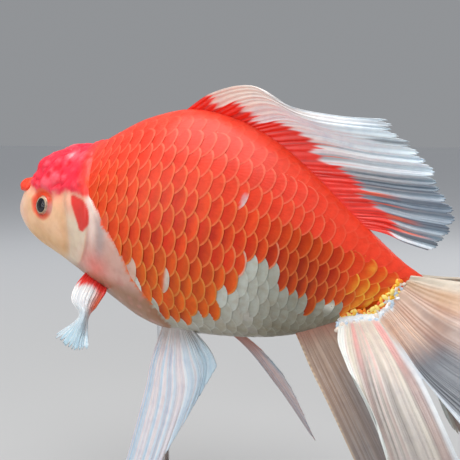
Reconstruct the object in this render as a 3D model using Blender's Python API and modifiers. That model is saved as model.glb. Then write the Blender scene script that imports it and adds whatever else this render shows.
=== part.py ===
# A red and white fantailed goldfish with a low head growth, life size, as a still museum model on one rod.
# Run it in Blender 4.5: blender --background --python part.py. Metres, +Z up, the stand's base on z = 0.
#
# The fish is shaped in its own frame, in millimetres: x runs aft from the tip of the snout, y to its right
# side and z up its back. An empty then pitches it nose up and lifts it over the base. It swims towards -X,
# so its left side faces -Y.

import math

import bmesh
import bpy
from mathutils import Matrix, Vector

MM = 0.001
GAP = 0.3  # between two pieces that touch, in millimetres

# ---- pose and stand, in millimetres ----------------------------------------------------------------------
NOSE_AT = (-82.0, 0.0, 143.0)  # where the tip of the snout is held
NOSE_UP = 12.0  # degrees
BASE_LENGTH, BASE_WIDTH, BASE_HEIGHT = 160.0, 104.0, 12.0
BASE_EDGE = 2.5  # rounding of the base's rim
ROD_RADIUS = 2.0
ROD_AFT = 72.5  # the rod meets the belly this far behind the snout
COLLAR_RADIUS, COLLAR_HEIGHT = 6.0, 5.0  # brass collar round the foot of the rod

# ---- body --------------------------------------------------------------------------------------------------
# One row for each section, from snout to tail root: the back's (x, z), the belly's (x, z) and the half width.
# The last sections lean, because the tail root slopes forwards and down.
BODY = [
    ((3.4, -3.0), (3.4, -5.4), 1.4),
    ((3.8, 0.2), (4.2, -7.6), 5.0),
    ((6.4, 5.8), (7.0, -11.2), 8.4),
    ((9.8, 14.6), (11.8, -15.0), 11.4),
    ((15.4, 20.2), (17.8, -17.5), 13.7),
    ((23.6, 24.4), (26.0, -19.3), 16.5),
    ((33.0, 27.4), (35.0, -21.4), 20.2),
    ((43.0, 35.0), (45.0, -24.6), 23.6),
    ((54.4, 42.6), (56.0, -28.6), 26.2),
    ((70.0, 48.4), (70.0, -33.0), 27.0),
    ((87.0, 48.2), (85.0, -33.0), 25.6),
    ((103.0, 43.6), (100.0, -30.0), 22.4),
    ((118.0, 35.8), (114.0, -26.0), 18.0),
    ((131.0, 27.6), (125.0, -21.2), 13.4),
    ((143.2, 20.4), (133.6, -15.8), 9.6),
    ((153.0, 14.9), (139.0, -12.0), 6.8),
    ((160.0, 12.0), (143.0, -9.4), 4.4),
]
FLANK = 0.48  # the widest level, as a share of the section's height
BACK_POWER, BELLY_POWER = 1.85, 2.1  # how full each section is above and below its widest level
TRUNK_END = 12.6  # the tail stalk starts here, counted in sections of BODY
RINGS_EACH = 2  # rings made for each section
AROUND = 28

# The gill cover's rear edge and the groove in front of it, seen from the side, top to bottom: (x, z).
GILL_EDGE = [(33.5, 29.0), (40.0, 25.4), (43.6, 17.0), (46.6, 8.0), (48.6, 0.0), (48.4, -7.0), (44.0, -14.0),
             (37.6, -19.6), (32.0, -26.0)]
CHEEK_GROOVE = [(36.0, 8.0), (37.6, 2.0), (37.4, -5.0), (35.0, -11.0)]
GILL_COVER_DEPTH = 2.2  # thickness of the gill cover plate
# The lower edge of the soft red growth on the crown: (x, z).
CROWN_EDGE = [(-4.0, 6.4), (8.0, 6.0), (20.0, 6.2), (30.0, 8.8), (38.0, 11.6), (45.0, 13.2)]

EYE_AT, EYE_RADIUS = (22.3, 11.8, 1.3), 5.2
MOUTH_AT, MOUTH_TILT = (4.0, 0.0, -4.4), 12.0  # lips, tilted up by these degrees
MOUTH_HALF_WIDTH, MOUTH_HALF_HEIGHT, LIP_RADIUS = 3.6, 2.6, 1.1
NOSE_FLAP_AT, NOSE_FLAP_SIZE = (6.8, 5.0, 5.2), (2.8, 2.4, 2.8)

# ---- fins --------------------------------------------------------------------------------------------------
FIN_THICKNESS = 0.8
# Each fin is spread over its key rays. A ray is the list of points that it passes, root to tip, (x, y, z).
# The left side has negative y. Roots start inside the body, and are cut back to its surface.
DORSAL_RAYS = [
    [(66.0, 0, 46.0), (77.0, -3, 54.6), (91.5, -5, 59.6), (106.0, -5, 55.2), (121.0, -1, 55.2), (137.0, 0, 57.4)],
    [(82.0, 0, 46.4), (98.0, -4, 54.0), (117.0, -4, 51.6), (142.0, 1, 53.6)],
    [(99.0, 0, 42.6), (114.0, 0, 46.6), (131.0, 1, 46.8), (151.5, 2, 48.6)],
    [(115.0, 0, 35.0), (129.0, 1, 37.0), (144.0, 2, 38.4), (158.5, 0, 40.6)],
    [(129.0, 0, 26.8), (141.0, 1, 29.2), (153.0, 0, 29.6), (165.5, -2, 31.0)],
    [(139.0, 0, 21.4), (146.0, 0, 21.4), (152.0, -1, 20.4), (161.0, -2, 20.0)],
]
# The pectoral fin hangs from behind the gill cover, narrows at a fold and opens again.
PECTORAL_RAYS = [
    [(46.0, -13.6, -17.0), (46.3, -22, -22.0), (48.2, -26, -25.8), (54.0, -29, -29.6), (46.0, -31, -39.0)],
    [(49.1, -13.0, -18.2), (52.2, -22, -20.9), (53.8, -27, -24.6), (57.1, -31, -28.4), (56.7, -35, -40.6)],
    [(52.8, -12.0, -20.0), (57.2, -19, -21.6), (56.8, -23, -26.1), (56.4, -27, -30.1), (62.9, -34, -37.2)],
]
# The left pelvic fin hangs almost straight down, and the right one trails.
LEFT_PELVIC_RAYS = [
    [(77.6, -9, -30.0), (77.0, -13, -43.0), (77.6, -16, -58.0), (76.0, -21, -102.0)],
    [(81.0, -9, -30.0), (83.8, -15, -42.3), (87.0, -20, -58.0), (86.0, -27, -94.0)],
    [(84.8, -9, -29.0), (91.7, -14, -35.9), (96.9, -17, -44.5), (95.9, -21, -61.5)],
    [(88.0, -9, -28.0), (94.5, -11, -30.6), (99.2, -13, -33.0), (102.8, -15, -36.0)],
]
RIGHT_PELVIC_RAYS = [
    [(77.6, 9, -30.0), (98.6, 14, -35.4), (116.4, 25, -54.0), (133.8, 32, -73.4)],
    [(81.0, 9, -29.6), (101.6, 11, -33.4), (118.0, 18, -49.4), (135.4, 24, -68.8)],
    [(84.8, 8.6, -29.0), (103.6, 8, -31.8), (114.6, 10, -38.4), (123.0, 12, -45.4)],
    [(88.0, 8, -28.0), (97.6, 6.6, -30.0), (105.6, 6.4, -31.8), (111.6, 7, -34.2)],
]
ANAL_RAYS = [
    [(124.0, -3.4, -18.6), (133.0, -8, -28.0), (143.0, -11, -38.0), (160.0, -15, -56.5)],
    [(130.0, -3.4, -14.0), (141.4, -7, -25.0), (152.0, -10, -35.6), (170.0, -14, -55.0)],
    [(136.0, -3.0, -10.4), (148.0, -6, -18.6), (158.6, -8, -28.0), (172.0, -11, -41.0)],
]
# Each half of the tail is one fan, from the ridge down to a fold and from there forwards and down. It is
# parted into an upper and a lower lobe, joined as far as the fork.
TAIL_UPPER_RAYS = [
    [(155.0, -0.9, 10.0), (164.0, -1.6, 11.6), (178.0, -4.5, 14.0), (204.0, -9, 15.6), (231.0, -14, 13.0)],
    [(154.0, -2.6, 5.4), (165.2, -9, 2.8), (177.0, -18, 2.6), (203.0, -25, 3.6), (230.0, -29, 0.6)],
    [(152.0, -3.6, 0.4), (164.5, -15, -4.0), (176.0, -27, -5.0), (201.0, -37, -7.0), (226.0, -42, -12.0)],
    [(150.4, -4.2, -2.4), (161.4, -17, -6.8), (171.0, -30, -9.2), (194.0, -43, -13.6), (218.0, -50, -23.0)],
    [(149.3, -4.5, -3.7), (160.9, -18.4, -8.5), (169.5, -30.3, -11.3), (186.0, -43, -18.6), (208.0, -51, -31.0)],
]
TAIL_LOWER_RAYS = [
    [(148.7, -4.5, -4.3), (160.3, -18.4, -9.1), (168.9, -30.3, -11.9), (182.0, -44, -23.0), (200.0, -53, -43.0)],
    [(144.4, -4.8, -6.0), (156.6, -24, -11.3), (165.1, -38, -16.9), (178.0, -49.5, -29.5), (196.0, -58, -57.0)],
    [(141.4, -4.6, -7.6), (148.6, -22, -12.6), (156.6, -35, -19.6), (170.0, -48, -33.5), (190.0, -58, -63.0)],
    [(138.6, -4.2, -9.0), (141.4, -16, -13.6), (148.3, -28, -16.8), (162.4, -43, -26.0), (184.0, -54, -59.0)],
]

# ---- colours -----------------------------------------------------------------------------------------------
RED, WHITE, CREAM = (0.80, 0.06, 0.02), (0.80, 0.78, 0.74), (0.86, 0.66, 0.44)
ROSE, BLACK, STEEL, BRASS = (0.80, 0.08, 0.10), (0.02, 0.02, 0.025), (0.62, 0.62, 0.64), (0.72, 0.52, 0.24)
WALNUT = (0.16, 0.08, 0.045)


# ---- scene helpers -----------------------------------------------------------------------------------------
def clear_scene():
    for obj in list(bpy.data.objects):
        bpy.data.objects.remove(obj)


def collection(name):
    made = bpy.data.collections.new(name)
    bpy.context.scene.collection.children.link(made)
    return made


def material(name, colour, roughness=0.4, metallic=0.0):
    made = bpy.data.materials.new(name)
    made.use_nodes = True
    surface = made.node_tree.nodes["Principled BSDF"]
    surface.inputs["Base Color"].default_value = (*colour, 1.0)
    surface.inputs["Roughness"].default_value = roughness
    surface.inputs["Metallic"].default_value = metallic
    return made


def new_object(name, mesh, look=None):
    mesh.shade_smooth()
    mesh.set_sharp_from_angle(angle=math.radians(40))
    obj = bpy.data.objects.new(name, mesh)
    if look:
        mesh.materials.append(look)
    return obj


def mesh_of(name, bm):
    bmesh.ops.recalc_face_normals(bm, faces=bm.faces)
    mesh = bpy.data.meshes.new(name)
    bm.to_mesh(mesh)
    bm.free()
    return mesh


def in_metres(point):
    return Vector(point) * MM


# ---- smooth curves through hand-set points -----------------------------------------------------------------
def through(points, t):
    """The point at t, from 0 to the last index, on a Catmull-Rom curve through the points."""
    last = len(points) - 1
    i = min(int(t), last - 1)
    f = t - i
    b, c = points[i], points[i + 1]
    a = points[i - 1] if i > 0 else 2 * b - c
    d = points[i + 2] if i + 2 <= last else 2 * c - b
    return 0.5 * (2 * b + (c - a) * f + (2 * a - 5 * b + 4 * c - d) * f * f + (3 * b - a - 3 * c + d) * f**3)


def smooth_line(points, each):
    """The points of a curve through these, with this many steps between each two."""
    held = [Vector(p) for p in points]
    return [through(held, k / each) for k in range(each * (len(held) - 1) + 1)]


# ---- body --------------------------------------------------------------------------------------------------
def body_section(s, grow=0.0):
    """One closed ring of the body at section s. grow moves it outwards."""
    back = through([Vector(row[0]) for row in BODY], s)
    belly = through([Vector(row[1]) for row in BODY], s)
    half_width = through([row[2] for row in BODY], s) + grow
    upright = (back - belly).normalized()
    back, belly = back + upright * grow, belly - upright * grow
    ring = []
    for k in range(AROUND):
        angle = 2 * math.pi * k / AROUND
        power = BACK_POWER if math.cos(angle) > 0 else BELLY_POWER
        side = math.copysign(abs(math.sin(angle)) ** (2 / power), math.sin(angle))
        rise = abs(math.cos(angle)) ** (2 / power)
        level = FLANK + (1 - FLANK) * rise if math.cos(angle) > 0 else FLANK * (1 - rise)
        spot = belly.lerp(back, level)
        ring.append(in_metres((spot.x, half_width * side, spot.y)))
    return ring


def body_loft(name, first, last, look=None, grow=0.0):
    """The closed body between two sections, as a loft of its rings."""
    steps = max(1, round((last - first) * RINGS_EACH))
    bm = bmesh.new()
    rings = [
        [bm.verts.new(p) for p in body_section(first + (last - first) * k / steps, grow)]
        for k in range(steps + 1)
    ]
    for near, far in zip(rings, rings[1:]):
        for k in range(AROUND):
            n = (k + 1) % AROUND
            bm.faces.new((near[k], near[n], far[n], far[k]))
    bm.faces.new(rings[0])
    bm.faces.new(rings[-1])
    bmesh.ops.triangulate(bm, faces=bm.faces)  # flat faces, so that every Boolean below is clean
    return new_object(name, mesh_of(name, bm), look)


def prism(name, outline, low, high):
    """A side-view outline of (x, z) points, pushed through from y = low to y = high."""
    bm = bmesh.new()
    face = bm.faces.new([bm.verts.new(in_metres((x, low, z))) for x, z in outline])
    pushed = bmesh.ops.extrude_face_region(bm, geom=[face])["geom"]
    moved = [v for v in pushed if isinstance(v, bmesh.types.BMVert)]
    bmesh.ops.translate(bm, verts=moved, vec=(0, (high - low) * MM, 0))
    return new_object(name, mesh_of(name, bm))


def cut(obj, cutter, operation="DIFFERENCE"):
    modifier = obj.modifiers.new(operation.title() + " " + cutter.name, "BOOLEAN")
    modifier.operation = operation
    modifier.object = cutter
    modifier.solver = "EXACT"


def widened(outline, by):
    """A closed outline with every point moved outwards by this much."""
    points = [Vector(p) for p in outline]
    pairs = list(zip(points, points[1:] + points[:1]))
    turn = math.copysign(by, sum(a.x * b.y - b.x * a.y for a, b in pairs))
    moved = []
    for before, here, after in zip(points[-1:] + points, points, points[1:] + points[:1]):
        along = (after - before).normalized()
        moved.append((here.x + turn * along.y, here.y - turn * along.x))
    return moved


def head_outline():
    """Everything in front of the gill edge, in side view."""
    edge = [(p.x, p.y) for p in smooth_line(GILL_EDGE, 3)]
    return [(-20, 60), (28, 60)] + edge + [(28, -60), (-20, -60)]


def crown_outline():
    """Everything above the growth's lower edge, as far aft as the gill edge, in side view."""
    rear = smooth_line(GILL_EDGE, 3)[6::-1]
    edge = [(p.x, p.y) for p in smooth_line(CROWN_EDGE, 3) + rear]
    return edge + [(28, 60), (-20, 60), (-20, edge[0][1])]


def gill_cover_outline():
    """The cover, from the cheek's groove to the gill edge."""
    rear = smooth_line(GILL_EDGE, 3)[8:18]
    front = smooth_line(CHEEK_GROOVE, 3)[::-1]
    return [(p.x, p.y) for p in rear + front]


def ball(name, at, radii, look=None, segments=16, rings=9):
    bm = bmesh.new()
    bmesh.ops.create_uvsphere(bm, u_segments=segments, v_segments=rings, radius=1.0)
    bmesh.ops.scale(bm, vec=in_metres(radii), verts=bm.verts)
    made = new_object(name, mesh_of(name, bm), look)
    made.location = in_metres(at)
    return made


def lips(name, radius, look=None):
    """An oval ring round the mouth, leaning with the snout."""
    bpy.ops.mesh.primitive_torus_add(
        major_segments=18, minor_segments=6, major_radius=MOUTH_HALF_HEIGHT * MM, minor_radius=radius * MM
    )
    made = bpy.context.object
    bpy.context.collection.objects.unlink(made)
    made.name = made.data.name = name
    made.data.transform(Matrix.Diagonal((1, MOUTH_HALF_WIDTH / MOUTH_HALF_HEIGHT, 1, 1)))
    made.data.shade_smooth()
    if look:
        made.data.materials.append(look)
    made.location = in_metres(MOUTH_AT)
    made.rotation_euler.y = math.radians(MOUTH_TILT - 90)
    return made


# ---- fins --------------------------------------------------------------------------------------------------
def fin_point(rays, a, r):
    """The point of a fin at a, across its key rays from 0 to 1, and r, along them from root to tip."""
    crossing = [through(ray, r * (len(ray) - 1)) for ray in rays]
    return through(crossing, a * (len(rays) - 1))


def fin(name, key_rays, look, across, along, mirror=False, span=(0.0, 1.0)):
    """A thin curved fin over its key rays, as an open sheet with Solidify."""
    flip = Vector((1, -1 if mirror else 1, 1))
    rays = [[Vector(p) * flip for p in ray] for ray in key_rays]
    bm = bmesh.new()
    rows = []
    for i in range(across + 1):
        a = span[0] + (span[1] - span[0]) * i / across
        rows.append([bm.verts.new(in_metres(fin_point(rays, a, j / along))) for j in range(along + 1)])
    for near, far in zip(rows, rows[1:]):
        for j in range(along):
            bm.faces.new((near[j], near[j + 1], far[j + 1], far[j]))
    made = new_object(name, mesh_of(name, bm), look)
    shell = made.modifiers.new("Thickness", "SOLIDIFY")
    shell.thickness = FIN_THICKNESS * MM
    shell.offset = 0.0
    return made


# ---- the pieces --------------------------------------------------------------------------------------------
def make_cutters():
    """Shapes that part the body, and a slightly larger body that every root is cut back to."""
    whole = len(BODY) - 1
    return {
        "body_clear": body_loft("body_clear", 0, whole, grow=GAP),
        "core": body_loft("core", 0, whole, grow=-GILL_COVER_DEPTH),
        "core_clear": body_loft("core_clear", 0, whole, grow=-GILL_COVER_DEPTH - GAP),
        "head_block": prism("head_block", head_outline(), -60, 60),
        "head_clear": prism("head_clear", widened(head_outline(), GAP), -60, 60),
        "crown_block": prism("crown_block", crown_outline(), -60, 60),
        "crown_clear": prism("crown_clear", widened(crown_outline(), GAP), -60, 60),
        "cover_left": prism("cover_left", gill_cover_outline(), -60, -6),
        "cover_right": prism("cover_right", gill_cover_outline(), 6, 60),
        "pocket_left": prism("pocket_left", widened(gill_cover_outline(), GAP), -60, -5.6),
        "pocket_right": prism("pocket_right", widened(gill_cover_outline(), GAP), 5.6, 60),
        "socket_left": ball("socket_left", side(EYE_AT, -1), [EYE_RADIUS + GAP] * 3),
        "socket_right": ball("socket_right", side(EYE_AT, 1), [EYE_RADIUS + GAP] * 3),
        "lip_clear": lips("lip_clear", LIP_RADIUS + GAP),
    }


def side(point, sign):
    return (point[0], sign * point[1], point[2])


def make_head(cutters, looks):
    front = 8.6  # a section behind the gill edge, so that the loft holds the whole head
    head = body_loft("head", 0, front, looks["cream"])
    cut(head, cutters["head_block"], "INTERSECT")
    cut(head, cutters["crown_clear"])
    growth = body_loft("head_growth", 0, front, looks["rose"])
    cut(growth, cutters["crown_block"], "INTERSECT")
    for name in ("left", "right"):
        cut(cutters["pocket_" + name], cutters["core_clear"])
        cut(head, cutters["pocket_" + name])
        cut(head, cutters["socket_" + name])
        cut(growth, cutters["socket_" + name])
    cut(head, cutters["lip_clear"])
    return [head, growth]


def make_gill_cover(name, cutters, looks):
    cover = body_loft("gill_cover_" + name, 4, 8.6, looks["white"])
    cut(cover, cutters["cover_" + name], "INTERSECT")
    cut(cover, cutters["core"])
    return cover


def make_head_details(looks):
    made = [lips("lips", LIP_RADIUS, looks["cream"])]
    for name, sign in (("left", -1), ("right", 1)):
        made.append(ball("eye_" + name, side(EYE_AT, sign), [EYE_RADIUS] * 3, looks["black"]))
        made.append(ball("nose_flap_" + name, side(NOSE_FLAP_AT, sign), NOSE_FLAP_SIZE, looks["red"], 10, 7))
    return made


def make_trunk(cutters, looks):
    trunk = body_loft("trunk", 4, TRUNK_END, looks["red"])
    cut(trunk, cutters["head_clear"])
    stalk = body_loft("tail_stalk", TRUNK_END + GAP / 12.0, len(BODY) - 1, looks["red"])
    return [trunk, stalk]


def make_fins(looks):
    white = looks["fin"]
    fins = [fin("dorsal_fin", DORSAL_RAYS, white, 14, 9)]
    for name, mirror in (("left", False), ("right", True)):
        pelvic = RIGHT_PELVIC_RAYS if mirror else LEFT_PELVIC_RAYS
        fins += [
            fin("pectoral_fin_" + name, PECTORAL_RAYS, white, 6, 9, mirror),
            fin("pelvic_fin_" + name, pelvic, white, 7, 8),
            fin("anal_fin_" + name, ANAL_RAYS, white, 5, 7, mirror),
            fin("tail_fin_upper_" + name, TAIL_UPPER_RAYS, white, 8, 9, mirror),
            fin("tail_fin_lower_" + name, TAIL_LOWER_RAYS, white, 7, 9, mirror),
        ]
    return fins


def rod_top():
    """Where the rod's axis meets the belly, in the stand's frame, in millimetres."""
    pitch = math.radians(NOSE_UP)
    sections = [Vector(row[1]) for row in BODY]
    steps = 400
    spots = [through(sections, (len(sections) - 1) * k / steps) for k in range(steps + 1)]
    under = min(spots, key=lambda p: abs(p.x - ROD_AFT))
    x = NOSE_AT[0] + under.x * math.cos(pitch) + under.y * math.sin(pitch)
    z = NOSE_AT[2] - under.x * math.sin(pitch) + under.y * math.cos(pitch)
    return x, z


def cylinder(name, x, bottom, height, radius, look, sides=20):
    bm = bmesh.new()
    bmesh.ops.create_cone(
        bm, cap_ends=True, segments=sides, radius1=radius * MM, radius2=radius * MM, depth=height * MM
    )
    made = new_object(name, mesh_of(name, bm), look)
    made.location = in_metres((x, 0, bottom + height / 2))
    return made


def make_stand(cutters, looks):
    x, belly = rod_top()
    base = cylinder("stand_base", 0, 0, BASE_HEIGHT, BASE_WIDTH / 2, looks["wood"], 40)
    base.data.transform(Matrix.Diagonal((BASE_LENGTH / BASE_WIDTH, 1, 1, 1)))
    rim = base.modifiers.new("Rounded rim", "BEVEL")
    rim.width = BASE_EDGE * MM
    rim.segments = 2
    rim.limit_method = "ANGLE"
    foot = BASE_HEIGHT + GAP
    rod = cylinder("stand_rod", x, foot, belly + 3.0 - foot, ROD_RADIUS, looks["steel"])
    cut(rod, cutters["body_clear"])
    collar = cylinder("stand_collar", x, foot, COLLAR_HEIGHT, COLLAR_RADIUS, looks["brass"])
    bore = cylinder("collar_bore", x, 0, 60, ROD_RADIUS + GAP, None)
    cutters["collar_bore"] = bore
    cut(collar, bore)
    return [base, rod, collar], bore


def make_looks():
    return {
        "red": material("red_scales", RED, 0.38),
        "white": material("white_skin", WHITE, 0.4),
        "cream": material("cream_skin", CREAM, 0.4),
        "rose": material("rose_growth", ROSE, 0.45),
        "fin": material("fin_membrane", WHITE, 0.4),
        "black": material("eye_black", BLACK, 0.08),
        "steel": material("polished_steel", STEEL, 0.25, 1.0),
        "brass": material("brushed_brass", BRASS, 0.3, 1.0),
        "wood": material("dark_walnut", WALNUT, 0.4),
    }


def hide(obj):
    obj.hide_render = True
    obj.display_type = "WIRE"


def main():
    clear_scene()
    parts, helpers = collection("goldfish"), collection("cutters")
    looks = make_looks()
    cutters = make_cutters()
    flesh = make_head(cutters, looks) + make_trunk(cutters, looks)
    flesh += [make_gill_cover(name, cutters, looks) for name in ("left", "right")]
    details = make_head_details(looks)
    for obj in details:
        if obj.name.startswith("nose_flap"):
            cut(obj, cutters["body_clear"])
    fins = make_fins(looks)
    for obj in fins:
        cut(obj, cutters["body_clear"])

    pose = bpy.data.objects.new("fish_pose", None)
    pose.location = in_metres(NOSE_AT)
    pose.rotation_euler.y = math.radians(NOSE_UP)
    parts.objects.link(pose)
    fish_cutters = list(cutters.values())
    for obj in flesh + details + fins:
        parts.objects.link(obj)
        obj.parent = pose
    for obj in fish_cutters:
        helpers.objects.link(obj)
        obj.parent = pose
        hide(obj)

    stand, bore = make_stand(cutters, looks)
    helpers.objects.link(bore)
    hide(bore)
    for obj in stand:
        parts.objects.link(obj)


main()
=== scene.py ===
# Red and white fantailed goldfish, life size, held by one rod over a walnut base.
# The fish is shaped in its own frame, in millimetres: x runs aft from the tip of the snout, y to its right
# side and z up its back, so its left side has negative y. placed() turns that into the model's metres.
import math

import bpy
import numpy as np
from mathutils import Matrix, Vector, noise


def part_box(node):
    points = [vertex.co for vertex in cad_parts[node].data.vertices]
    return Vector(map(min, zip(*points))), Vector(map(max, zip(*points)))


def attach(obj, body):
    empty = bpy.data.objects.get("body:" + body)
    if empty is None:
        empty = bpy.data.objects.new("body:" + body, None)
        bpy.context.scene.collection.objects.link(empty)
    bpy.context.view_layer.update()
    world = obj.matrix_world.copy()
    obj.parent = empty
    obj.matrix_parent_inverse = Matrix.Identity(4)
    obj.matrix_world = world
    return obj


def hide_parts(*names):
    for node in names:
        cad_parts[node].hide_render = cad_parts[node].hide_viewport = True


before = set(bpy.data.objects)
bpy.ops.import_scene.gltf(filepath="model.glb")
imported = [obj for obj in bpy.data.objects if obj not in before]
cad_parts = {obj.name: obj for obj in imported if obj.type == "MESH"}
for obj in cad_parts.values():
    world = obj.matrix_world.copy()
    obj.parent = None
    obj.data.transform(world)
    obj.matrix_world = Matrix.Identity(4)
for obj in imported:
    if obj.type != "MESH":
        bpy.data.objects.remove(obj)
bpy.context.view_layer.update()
dice = np.random.default_rng(11)
flanks = ((-1, "left"), (1, "right"))


# numbers and colours
def through(points, t):
    # a smooth curve through the points, at t from 0 to the last index
    points = np.asarray(points, float)
    t = np.atleast_1d(np.asarray(t, float))
    last = len(points) - 1
    i = np.clip(t.astype(int), 0, last - 1)
    shape = (-1,) + (1,) * (points.ndim - 1)
    f = (t - i).reshape(shape)
    b, c = points[i], points[i + 1]
    a = np.where((i > 0).reshape(shape), points[np.maximum(i - 1, 0)], 2 * b - c)
    d = np.where((i + 2 <= last).reshape(shape), points[np.minimum(i + 2, last)], 2 * c - b)
    return 0.5 * (2 * b + (c - a) * f + (2 * a - 5 * b + 4 * c - d) * f**2 + (3 * b - a - 3 * c + d) * f**3)


def ramp(low, high, value):
    # 0 below low, 1 above high, smooth between; low may be the larger
    share = np.clip((value - low) / (high - low), 0, 1)
    return share * share * (3 - 2 * share)


def hump(value, width):
    return np.exp(-((value / width) ** 2))


def colour(code):
    # a web colour as linear light
    parts = np.array([int(code[k : k + 2], 16) / 255 for k in (0, 2, 4)])
    return np.where(parts <= 0.04045, parts / 12.92, ((parts + 0.055) / 1.055) ** 2.4)


def laid(paint, code, mask):
    # paint with one more coat of a colour where the mask is 1
    over = colour(code) if isinstance(code, str) else code
    return paint + (over - paint) * np.asarray(mask)[..., None]


def layered(paint, *coats):
    # paint under several coats, each a colour and its mask
    for code, mask in coats:
        paint = laid(paint, code, mask)
    return paint


def plain(code, like):
    # one colour over a whole grid or list of points
    return np.ones(np.shape(like)[:-1] + (3,)) * colour(code)


def between(low, high, share):
    return low + (high - low) * share


def unitOf(vector):
    return vector / np.linalg.norm(vector)


def mirrored(point, side):
    # a place given for the right side, on this side
    return np.array(point) * [1, side, 1]


def doubled(data, axis=0):
    return np.concatenate([data, data], axis)


def rough(points, size, seed=0.0):
    # soft noise from -1 to 1, with lumps about this many millimetres across
    spots = np.asarray(points, float).reshape(-1, 3) / size + seed
    found = np.array([noise.noise(Vector(p)) for p in spots.tolist()])
    return found.reshape(np.shape(points)[:-1])


def knobs(points, size):
    # round knobs about this far apart: 1 along the creases between them, and 1 in the middle of each
    spots = np.asarray(points, float).reshape(-1, 3) / size
    found = np.array([noise.voronoi(Vector(p))[0][:2] for p in spots.tolist()])
    shape = np.shape(points)[:-1]
    near, further = found[:, 0].reshape(shape), found[:, 1].reshape(shape)
    return ramp(0.24, 0.0, further - near), ramp(0.7, 0.1, near)


def beside(x, z, line, each=4):
    # distance from a side-view line, positive aft of or below it, and the share of the way along it
    held = through(line, np.linspace(0, len(line) - 1, each * (len(line) - 1) + 1))
    best = np.full(np.shape(x), 1e9)
    away = np.zeros(np.shape(x))
    share = np.zeros(np.shape(x))
    for k, (a, b) in enumerate(zip(held[:-1], held[1:])):
        run = b - a
        t = np.clip(((x - a[0]) * run[0] + (z - a[1]) * run[1]) / (run @ run), 0, 1)
        dx, dz = x - a[0] - t * run[0], z - a[1] - t * run[1]
        gap = np.hypot(dx, dz)
        near = gap < best
        best = np.where(near, gap, best)
        away = np.where(near, np.sign(dz * run[0] - dx * run[1]) * gap, away)
        share = np.where(near, (k + t) / (len(held) - 1), share)
    return away, share


def within(x, z, outline, soft):
    # 1 inside a closed side-view outline and 0 outside it, over a soft edge this wide
    ring = through(list(outline) + [outline[0]], np.linspace(0, len(outline), 6 * len(outline) + 1))
    gap = np.full(np.shape(x), 1e9)
    crossings = np.zeros(np.shape(x), int)
    for a, b in zip(ring[:-1], ring[1:]):
        run = b - a
        t = np.clip(((x - a[0]) * run[0] + (z - a[1]) * run[1]) / max(run @ run, 1e-9), 0, 1)
        gap = np.minimum(gap, np.hypot(x - a[0] - t * run[0], z - a[1] - t * run[1]))
        if a[1] != b[1]:
            at = a[0] + (z - a[1]) / run[1] * run[0]
            crossings += ((z > min(a[1], b[1])) & (z <= max(a[1], b[1])) & (x < at)).astype(int)
    return ramp(-soft / 2, soft / 2, np.where(crossings % 2 == 1, gap, -gap))


# where the fish hangs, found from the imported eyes
pose = {"noseUp": 12.0, "eyeAt": (22.3, 11.8, 1.3), "eyeSeat": (23.5, 12.3, 1.2), "eyeRadius": 5.2}


def middle(node):
    low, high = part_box(node)
    return (np.array(low) + np.array(high)) / 2


pitch = math.radians(pose["noseUp"])
tilt = np.array([[math.cos(pitch), 0, math.sin(pitch)], [0, 1, 0], [-math.sin(pitch), 0, math.cos(pitch)]])
eyeGap = middle("eye_right") - middle("eye_left")
mm = np.linalg.norm(eyeGap) / (2 * pose["eyeAt"][1])
noseAt = (middle("eye_right") + middle("eye_left")) / 2
noseAt = noseAt - tilt @ np.array([pose["eyeAt"][0], 0, pose["eyeAt"][2]]) * mm


def placed(points):
    return np.asarray(points) @ tilt.T * mm + noseAt


print("frame loaded, one millimetre is", round(float(mm), 6))


# shader wiring
class Wire:
    def __init__(self, tree, socket=None):
        self.tree = tree
        self.socket = socket

    def node(self, kind, settings=None, values=None, out=0):
        made = self.tree.nodes.new("ShaderNode" + kind)
        for name, value in (settings or {}).items():
            setattr(made, name, value)
        for name, value in (values or {}).items():
            if isinstance(value, Wire):
                self.tree.links.new(value.socket, made.inputs[name])
            else:
                made.inputs[name].default_value = value
        return Wire(self.tree, made.outputs[out])

    def math(self, operation, first, second=0.0):
        return self.node("Math", {"operation": operation}, {0: first, 1: second})

    def __add__(self, other):
        return self.math("ADD", self, other)

    def __sub__(self, other):
        return self.math("SUBTRACT", self, other)

    def __mul__(self, other):
        return self.math("MULTIPLY", self, other)

    def __truediv__(self, other):
        return self.math("DIVIDE", self, other)

    def __rsub__(self, other):
        return self.math("SUBTRACT", other, self)

    __radd__ = __add__
    __rmul__ = __mul__

    def held(self):
        return self.node("Clamp", None, {0: self})

    def over(self, low, high):
        # 0 below low and 1 above high
        settings = {"interpolation_type": "SMOOTHSTEP"}
        return self.node("MapRange", settings, {0: self, 1: low, 2: high, 3: 0.0, 4: 1.0})

    def mixed(self, first, second, blend="MIX"):
        # two colours, by this value
        settings = {"data_type": "RGBA", "blend_type": blend}
        return self.node("Mix", settings, {0: self, 6: first, 7: second}, 2)

    def value(self, name):
        return self.node("Attribute", {"attribute_name": name}, None, "Fac")

    def paint(self, name):
        return self.node("Attribute", {"attribute_name": name}, None, "Color")

    def place(self, stretch=None):
        # the object's own coordinates, stretched or not
        place = self.node("TexCoord", None, None, "Object")
        if stretch is None:
            return place
        return self.node("VectorMath", {"operation": "MULTIPLY"}, {0: place, 1: stretch})

    def grain(self, scale, detail=3.0, roughness=0.5, stretch=None):
        values = {"Scale": scale, "Detail": detail, "Roughness": roughness, "Vector": self.place(stretch)}
        return self.node("TexNoise", None, values, "Fac")

    def tinted(self, low, high, base, tint):
        # the base colour, multiplied by a tint where this value is high
        return self.over(low, high).mixed(base, (*tint, 1.0), "MULTIPLY")

    def bump(self, height, strength, distance):
        return self.node("Bump", None, {"Height": height, "Strength": strength, "Distance": distance})


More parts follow.
